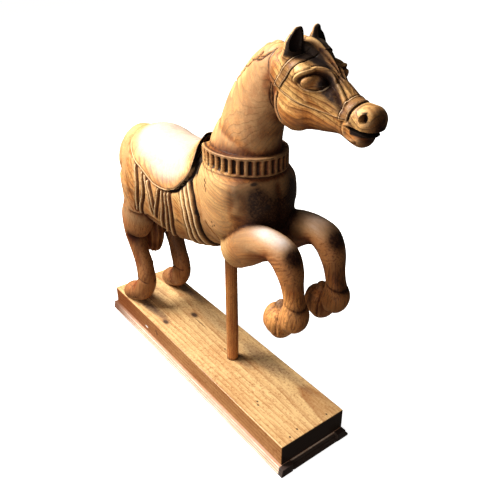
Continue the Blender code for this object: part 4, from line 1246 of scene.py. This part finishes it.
class Wood:
    """The nodes of varnished wood: rings cut by the surface, fibres along them, pores and mottling."""

    def __init__(self, name, colours, ring_colour, ring_strength, roughness, coat, wobble, bump):
        global tree
        self.material = bpy.data.materials.new(name)
        self.material.use_nodes = True
        tree = self.material.node_tree
        self.shader = tree.nodes["Principled BSDF"]
        self.bump = bump
        grain = self.grain = attribute("grain", "Vector")
        drift = speckle(vector("MULTIPLY", grain, (1, 1, 0.3)), 0.075, 1.0, output="Color")
        waves = speckle(vector("MULTIPLY", grain, (1, 1, 0.3)), 0.30, 1.0, output="Color")
        placed = grain
        for noise_colour, reach in ((drift, 6.0 * wobble), (waves, 1.2 * wobble)):
            shift = vector("SUBTRACT", noise_colour, (0.5, 0.5, 0.5))
            placed = vector("ADD", placed, vector("MULTIPLY", shift, (reach, reach, 0)))
        across = vector("LENGTH", vector("MULTIPLY", placed, (1, 1, 0)), (0, 0, 0))
        uneven = speckle(vector("MULTIPLY", grain, (1, 1, 0.15)), 1.2, 2.0)
        across = calc("MULTIPLY_ADD", uneven, 0.12, across)
        rings = calc("FRACT", across)
        late = calc("POWER", ramp(rings, 0.25, 0.92), 1.9)
        self.line = scaled(late, ramp(rings, 1.0, 0.92))
        thin = calc("FRACT", calc("MULTIPLY", across, 3.0))
        thin = scaled(ramp(thin, 0.3, 0.9), ramp(thin, 1.0, 0.9))
        self.fibres = speckle(vector("MULTIPLY", grain, (3.2, 3.2, 0.14)), 1.9, 4.0, 0.65)
        streaks = speckle(vector("MULTIPLY", grain, (1, 1, 0.05)), 0.9, 3.0, 0.6)
        clouds = speckle(vector("MULTIPLY", grain, (1, 1, 0.45)), 0.11, 3.0)
        self.mottle = speckle(grain, 1.3, 3.0, 0.6)
        pores = ramp(speckle(vector("MULTIPLY", grain, (6, 6, 0.5)), 1.6, 1.0), 0.64, 0.72)
        shade = calc("MULTIPLY_ADD", ramp(clouds, 0.32, 0.68), 0.50, -0.12)
        shade = calc("MULTIPLY_ADD", ramp(streaks, 0.35, 0.70), 0.42, shade)
        # The horse's painted tone and shade darkens the tint; the other pieces have none
        shade = calc("MULTIPLY_ADD", calc("SUBTRACT", attribute("tone_and_shade"), 0.3), 1.0, shade, clamp=True)
        self.tint = mix(ramp(shade, 0.0, 0.5), colours[0], colours[1])
        self.tint = mix(ramp(shade, 0.5, 1.0), self.tint, colours[2])
        patchy = ramp(speckle(grain, 0.16, 2.0), 0.30, 0.60)
        strength = calc("MULTIPLY_ADD", patchy, 0.5 * ring_strength, 0.5 * ring_strength)
        strength = calc("MULTIPLY", strength, calc("MULTIPLY_ADD", attribute("calm"), -0.75, 1.0))
        self.over(scaled(self.line, strength), ring_colour)
        self.over(scaled(scaled(thin, patchy), 0.45 * ring_strength), ring_colour)
        self.over(scaled(ramp(self.fibres, 0.46, 0.72), 0.62), ring_colour)
        self.over(scaled(pores, 0.60), ring_colour)
        self.over(scaled(ramp(self.mottle, 0.52, 0.68), 0.60), ring_colour)
        self.shader.inputs["Specular IOR Level"].default_value = 0.15
        self.rough = calc("MULTIPLY_ADD", self.fibres, 0.18, roughness - 0.09)
        self.shader.inputs["Coat Weight"].default_value = coat
        self.shader.inputs["Coat Roughness"].default_value = 0.22

    def over(self, share, colour, blend="MIX"):
        self.tint = mix(share, self.tint, colour, blend)

    def finish(self):
        tree.links.new(self.tint, self.shader.inputs["Base Color"])
        tree.links.new(self.rough, self.shader.inputs["Roughness"])
        height = calc("MULTIPLY_ADD", self.line, -0.6, self.fibres)
        height = calc("MULTIPLY_ADD", self.mottle, 0.9, height)
        bumped = add("ShaderNodeBump", {"Height": height, "Strength": self.bump, "Distance": 0.0008})
        tree.links.new(bumped.outputs["Normal"], self.shader.inputs["Normal"])
        return self.material


HONEY = [(0.84, 0.50, 0.175), (0.52, 0.195, 0.045), (0.185, 0.048, 0.013)]
RING_BROWN = (0.115, 0.034, 0.009)
BLACK_BROWN = (0.018, 0.009, 0.007)


def horse_wood():
    wood = Wood("horse_wood", HONEY, RING_BROWN, 1.0, 0.46, 0.05, 1.2, 0.6)
    loose = calc("MULTIPLY_ADD", wood.mottle, 0.8, 0.60)

    def named(name, share, blotchy=True):
        value = attribute(name)
        value = scaled(value, share)
        return scaled(value, loose) if blotchy else value

    wood.over(named("red", 1.0, False), (0.50, 0.19, 0.16), "MULTIPLY")
    # Paler on ridges: wear, and painted highlight
    wood.over(named("wear_and_highlight", 0.30), (0.92, 0.60, 0.29))
    wood.over(scaled(attribute("ball"), 0.6), (0.66, 0.50, 0.38), "MULTIPLY")
    # Painted highlights, near white
    wood.over(named("painted_highlight", 0.62), (0.80, 0.76, 0.74))
    wood.over(named("shank", 0.75, False), (1.0, 0.70, 0.46), "MULTIPLY")
    lines = speckle(vector("MULTIPLY", wood.grain, (1, 1, 0.06)), 1.5, 2.0)
    lines = scaled(ramp(lines, 0.50, 0.62), attribute("shank"))
    wood.over(scaled(lines, 0.55), (0.10, 0.028, 0.010))
    # Painted shade in the eye's hollow
    wood.over(named("socket", 0.92, False), (0.050, 0.015, 0.008))
    # Painted shade in the cloth's valleys and between the girth's reeds
    fold = attribute("fold")
    girth = attribute("girth")
    valley_shade = scaled(ramp(fold, 0.0098, 0.0055), ramp(fold, 0.0018, 0.0036))
    valley_shade = most(valley_shade, stripe(girth, 0.333, 0.055), stripe(girth, 0.667, 0.055))
    wood.over(scaled(valley_shade, 0.80), (0.070, 0.018, 0.008))
    # Painted highlight on the crests of the folds and the reeds
    crest = most(stripe(fold, 0.0, 0.0014), stripe(girth, 0.17, 0.04), stripe(girth, 0.5, 0.04))
    wood.over(scaled(most(crest, stripe(girth, 0.83, 0.04)), 0.65), (0.98, 0.74, 0.44))
    # Dark stains, and painted shade on the chest, the muzzle and around the eye
    wood.over(named("stain_and_shade", 0.98), (0.060, 0.038, 0.045), "MULTIPLY")
    # Painted shade and grime in hollows and grooves
    wood.over(named("crease", 0.80), (0.030, 0.011, 0.006))
    place = attribute("place", "Vector")
    for oval in KNOTS:
        wood.over(scaled(spot(place, *metres(oval)), 0.92), BLACK_BROWN)
    dull = most(attribute("shaded_gap"), attribute("crease"), attribute("collar_line"))
    wood.rough = calc("MULTIPLY_ADD", dull, 0.45, wood.rough, clamp=True)
    # Painted shade along the collar's grooves, at its foot and on its ledge
    wood.over(named("collar_line", 0.80, False), BLACK_BROWN)
    # Dark lines, mostly painted shade in the carved grooves beside the bridle's bands, the latch, the jaw and the
    # rein, under the eye, above the brow, in the mane's strokes, in the flutes and at the saddle's rim
    groove_shade_lines = most(
        mark("band", 0.60, 0.07, 0.6),
        mark("band", 1.12, 0.10),
        mark("latch", LATCH_HALF_GAP, 0.0007),
        mark("latch", -LATCH_HALF_GAP, 0.0007),
        mark("jaw", 0.0, 0.0016),
        mark("nape", 0.0, 0.0011),
        mark("rein", -0.0012, 0.0006, 0.5),
        mark("lid", 1.08, 0.06, 0.9),
        mark("brow", 1.86, 0.04, 0.25),
        scaled(ramp(attribute("stroke"), 0.0016, 0.0007), 0.8),
        scaled(ramp(attribute("flute"), 0.0002, 0.0016), 0.93),
        mark("rim", 0.0010, 0.0012),
        mark("rim", -0.0062, 0.0009, 0.55),
    )
    # Pale lines, painted highlight on the raised beads of the bands, the rein, the lower lid and the saddle's rim
    bead_highlight_lines = most(
        mark("band", 0.88, 0.07),
        mark("rein", 0.0003, 0.0006, 0.4),
        mark("lid", 1.30, 0.08, 0.3),
        mark("rim", -0.0026, 0.0014, 0.7),
    )
    on_band = scaled(ramp(attribute("band"), 1.0, 0.8), 0.55)
    wood.over(on_band, (0.20, 0.075, 0.030))
    wood.over(scaled(bead_highlight_lines, 0.65), (0.92, 0.66, 0.40))
    wood.over(groove_shade_lines, BLACK_BROWN)
    # Painted shade: black in the gaps, hollows and holes
    wood.over(named("shaded_gap", 0.97, False), (0.006, 0.003, 0.003))
    return wood.finish()


def plain_grain(obj, pith, along, spacing):
    """Grain for a piece that is one timber."""
    mesh = obj.data
    points = mesh_shape(mesh)[0]
    out = (points - np.array(pith)) @ np.array(grain_frame(along)) / spacing
    paint_places(mesh, "grain", out)


# Knots, nail holes and painted shadows of the block's top, in metres from the plinth's middle
BLOCK_KNOTS = [((-0.1470, -0.0610), (0.0110, 0.0062)), ((-0.1260, 0.0197), (0.0125, 0.0075))]
NAIL_HOLES = [(0.0493, 0.0018), (0.3779, 0.0518), (0.3707, -0.0308), (0.2606, -0.0540), (0.2506, -0.0480),
              (0.3784, -0.0579)]
# Painted shadows of the hind hooves, the tail, the pole and the body, each with its size and strength
TOP_SHADOWS = [((-0.245, -0.060), (0.060, 0.013), 1.0), ((-0.190, -0.054), (0.050, 0.011), 0.7),
          ((-0.255, 0.070), (0.045, 0.012), 0.9), ((-0.200, 0.074), (0.045, 0.010), 0.6),
          ((-0.290, -0.010), (0.050, 0.030), 0.4), ((-0.06, 0.055), (0.09, 0.022), 0.4),
          ((0.115, 0.012), (0.04, 0.014), 0.45),
          ((0.14, 0.055), (0.09, 0.022), 0.6), ((0.24, 0.070), (0.07, 0.012), 0.45)]


def block_wood():
    tints = [(0.73, 0.49, 0.225), (0.53, 0.295, 0.115), (0.29, 0.125, 0.042)]
    wood = Wood("block_wood", tints, (0.26, 0.085, 0.022), 0.60, 0.5, 0.18, 0.22, 0.25)
    place = attribute("place", "Vector")
    dark = (0.036, 0.018, 0.014)
    for (x, y), (length, width) in BLOCK_KNOTS:
        wood.over(scaled(spot(place, (x, y, BLOCK_TOP), (2.0 * length, 1.8 * width, 0.01)), 0.45), (0.40, 0.20, 0.09))
        wood.over(scaled(spot(place, (x, y, BLOCK_TOP), (1.1 * length, 1.1 * width, 0.01)), 0.92), dark)
    for x, y in NAIL_HOLES:
        wood.over(spot(place, (x, y, BLOCK_TOP), (0.0030, 0.0022, 0.004)), dark)
    # Painted shadows on the block's top
    for (x, y), (length, width), strength in TOP_SHADOWS:
        top_shadow = scaled(spot(place, (x, y, BLOCK_TOP), (length, width, 0.02)), strength)
        wood.over(scaled(top_shadow, calc("MULTIPLY_ADD", wood.mottle, 1.2, 0.2)), (0.13, 0.075, 0.050))
    crack = spot(place, (-0.0850, 0.0131, BLOCK_TOP), (0.028, 0.0016, 0.004))
    wood.over(scaled(crack, 0.85), (0.10, 0.03, 0.015))
    length_way = add("ShaderNodeSeparateXYZ", {"Vector": place}).outputs["X"]
    # Painted shade: the block's front end, away from the window lamp, nearly black
    shaded_front_end = ramp(length_way, BLOCK_LENGTH / 2 - 0.0016, BLOCK_LENGTH / 2 - 0.0002)
    wood.over(scaled(shaded_front_end, 0.96), (0.016, 0.011, 0.013))
    right = -BLOCK_WIDTH / 2
    # Painted shade: the right side darker than the top, and darker still towards the rear
    right_side_shade = ramp(add("ShaderNodeSeparateXYZ", {"Vector": place}).outputs["Y"], right + 0.0016, right + 0.0002)
    wood.over(right_side_shade, (0.72, 0.54, 0.45), "MULTIPLY")
    wood.over(scaled(right_side_shade, ramp(length_way, -0.02, -0.30)), (0.58, 0.40, 0.32), "MULTIPLY")
    wood.over(spot(place, (-0.2059, right, 0.0389), (0.0075, 0.006, 0.0030)), (0.95, 0.93, 0.88))
    wood.over(spot(place, (-0.3667, -0.0678, BLOCK_TOP), (0.0075, 0.0050, 0.006)), (0.95, 0.93, 0.88))
    for x, z in ((-0.1500, 0.056), (-0.1459, 0.0488)):
        wood.over(scaled(spot(place, (x, right, z), (0.0035, 0.006, 0.0050)), 0.85), dark)
    return wood.finish()


# Heights of the mouldings' dark lines: painted shade along the steps of their profile
MOULDING_SHADE_LINES = (0.0035, 0.0100, 0.0165, 0.0225)


def moulding_wood():
    # Tints paler than the block's: painted light, standing for the strong light on the mouldings
    tints = [(0.95, 0.84, 0.72), (0.86, 0.66, 0.50), (0.60, 0.36, 0.22)]
    wood = Wood("moulding_wood", tints, (0.50, 0.22, 0.10), 0.4, 0.55, 0.12, 0.4, 0.2)
    places = add("ShaderNodeSeparateXYZ", {"Vector": attribute("place", "Vector")}).outputs
    # Painted shade along the steps of the profile
    lines = most(*[stripe(places["Z"], level, 0.0007) for level in MOULDING_SHADE_LINES])
    wood.over(scaled(lines, 0.75), (0.36, 0.13, 0.045))
    # Painted shade on the mouldings' rear part
    wood.over(scaled(ramp(places["X"], -0.22, -0.38), 0.95), (0.12, 0.045, 0.022))
    # Painted shade, nearly black, on the front ends
    front = ramp(places["X"], BLOCK_LENGTH / 2 + 0.0002, BLOCK_LENGTH / 2 + 0.0012)
    wood.over(scaled(front, 0.95), (0.022, 0.014, 0.014))
    return wood.finish()


def pole_wood():
    tints = [(0.58, 0.24, 0.070), (0.40, 0.135, 0.038), (0.20, 0.055, 0.017)]
    wood = Wood("pole_wood", tints, (0.14, 0.038, 0.012), 0.6, 0.40, 0.3, 0.5, 0.25)
    place = attribute("place", "Vector")
    height = add("ShaderNodeSeparateXYZ", {"Vector": place}).outputs["Z"]
    # Painted shade where the pole meets the block, and under the belly
    wood.over(scaled(ramp(height, BLOCK_TOP + 0.010, BLOCK_TOP), 0.8), BLACK_BROWN)
    wood.over(scaled(ramp(height, 0.33, 0.37), 0.6), (0.10, 0.04, 0.02))
    return wood.finish()


LAMP_AIM = Vector((0.0, 0.0, 0.45))
LAMP_DISTANCE = 2.6
FLOOR_REACH = 30.0


def aim_at(obj, target):
    obj.rotation_euler = (Vector(target) - obj.location).to_track_quat("-Z", "Y").to_euler()


def area_lamp(name, way, energy, colour, width, height=None):
    """A lamp at a fixed distance from the object's middle, turned to it."""
    lamp = bpy.data.lights.new(name, "AREA")
    lamp.shape = "RECTANGLE" if height else "SQUARE"
    lamp.size = width
    if height:
        lamp.size_y = height
    lamp.energy = energy
    lamp.color = colour
    obj = new_object(name, lamp)
    obj.location = LAMP_AIM + LAMP_DISTANCE * way
    aim_at(obj, LAMP_AIM)


def stage():
    """The white floor, the window's light with two weaker fills, the room's own light and the camera."""
    floor_mesh = bpy.data.meshes.new("floor")
    corners = [(x, y, 0) for x, y in ((-1, -1), (1, -1), (1, 1), (-1, 1))]
    floor_mesh.from_pydata([Vector(corner) * FLOOR_REACH for corner in corners], [], [(0, 1, 2, 3)])
    floor = new_object("floor", floor_mesh)
    floor.location.z = CAD_BOX[0][2] - 0.0005
    material = bpy.data.materials.new("floor")
    material.use_nodes = True
    shader = material.node_tree.nodes["Principled BSDF"]
    shader.inputs["Base Color"].default_value = (0.85, 0.85, 0.84, 1)
    shader.inputs["Roughness"].default_value = 0.9
    shader.inputs["Emission Color"].default_value = (1, 1, 1, 1)
    shader.inputs["Emission Strength"].default_value = 0.95
    floor_mesh.materials.append(material)
    floor.visible_diffuse = False
    floor.visible_glossy = False

    elevation = math.radians(47)
    heading = Vector((-0.79, -0.61, 0)).normalized()
    from_window = heading * math.cos(elevation) + Vector((0, 0, math.sin(elevation)))
    area_lamp("window", from_window, KEY_ENERGY, (1.0, 0.97, 0.92), 1.5, 1.1)
    area_lamp("wall", Vector((0.05, -0.965, 0.26)), WALL_ENERGY, (1.0, 0.90, 0.78), 1.8)
    area_lamp("front", Vector((0.80, -0.58, -0.10)), FRONT_ENERGY, (1.0, 0.90, 0.78), 1.8)

    world = bpy.data.worlds.new("room")
    world.use_nodes = True
    background = world.node_tree.nodes["Background"]
    background.inputs["Color"].default_value = (1.0, 0.90, 0.80, 1)
    background.inputs["Strength"].default_value = FILL
    bpy.context.scene.world = world

    camera_data = bpy.data.cameras.new("camera")
    camera_data.lens = 42.4
    camera_data.sensor_width = 36
    camera = new_object("camera", camera_data)
    camera.location = (1.0046, -0.6796, 1.0674)
    aim_at(camera, (0.117, 0.0, 0.4254))
    bpy.context.scene.camera = camera
    bpy.context.scene.view_settings.view_transform = "Standard"


# ---------------------------------------------------------------- the piece


KEY_ENERGY = 198
WALL_ENERGY = 31
FRONT_ENERGY = 10
FILL = 0.07


def main():
    piece = horse(horse_wood())
    piece.location.x = -SET_BACK
    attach(piece, "root")
    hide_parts("horse")
    pole, block, moulding = pole_wood(), block_wood(), moulding_wood()
    grains = {
        "pole": (pole, (0.06, 0.02, 0.3), (0, 0, 1), 0.0040),
        "base_block": (block, (0.0, 0.06, -0.09), (1, 0.02, 0.015), 0.0075),
        "plinth_moulding_right": (moulding, (0.0, 0.05, -0.05), (1, 0, 0), 0.0040),
        "plinth_moulding_left": (moulding, (0.0, 0.05, -0.05), (1, 0, 0), 0.0040),
        "plinth_moulding_front": (moulding, (0.0, 0.05, -0.05), (0, 1, 0), 0.0040),
        "plinth_moulding_back": (moulding, (0.0, 0.05, -0.05), (0, 1, 0), 0.0040),
    }
    for name, (material, pith, along, spacing) in grains.items():
        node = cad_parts[name]
        node.data.materials.clear()
        node.data.materials.append(material)
        plain_grain(node, pith, along, spacing)
        points = mesh_shape(node.data)[0] + np.array([SET_BACK, 0, 0])
        paint_places(node.data, "place", points)
    stage()


main()
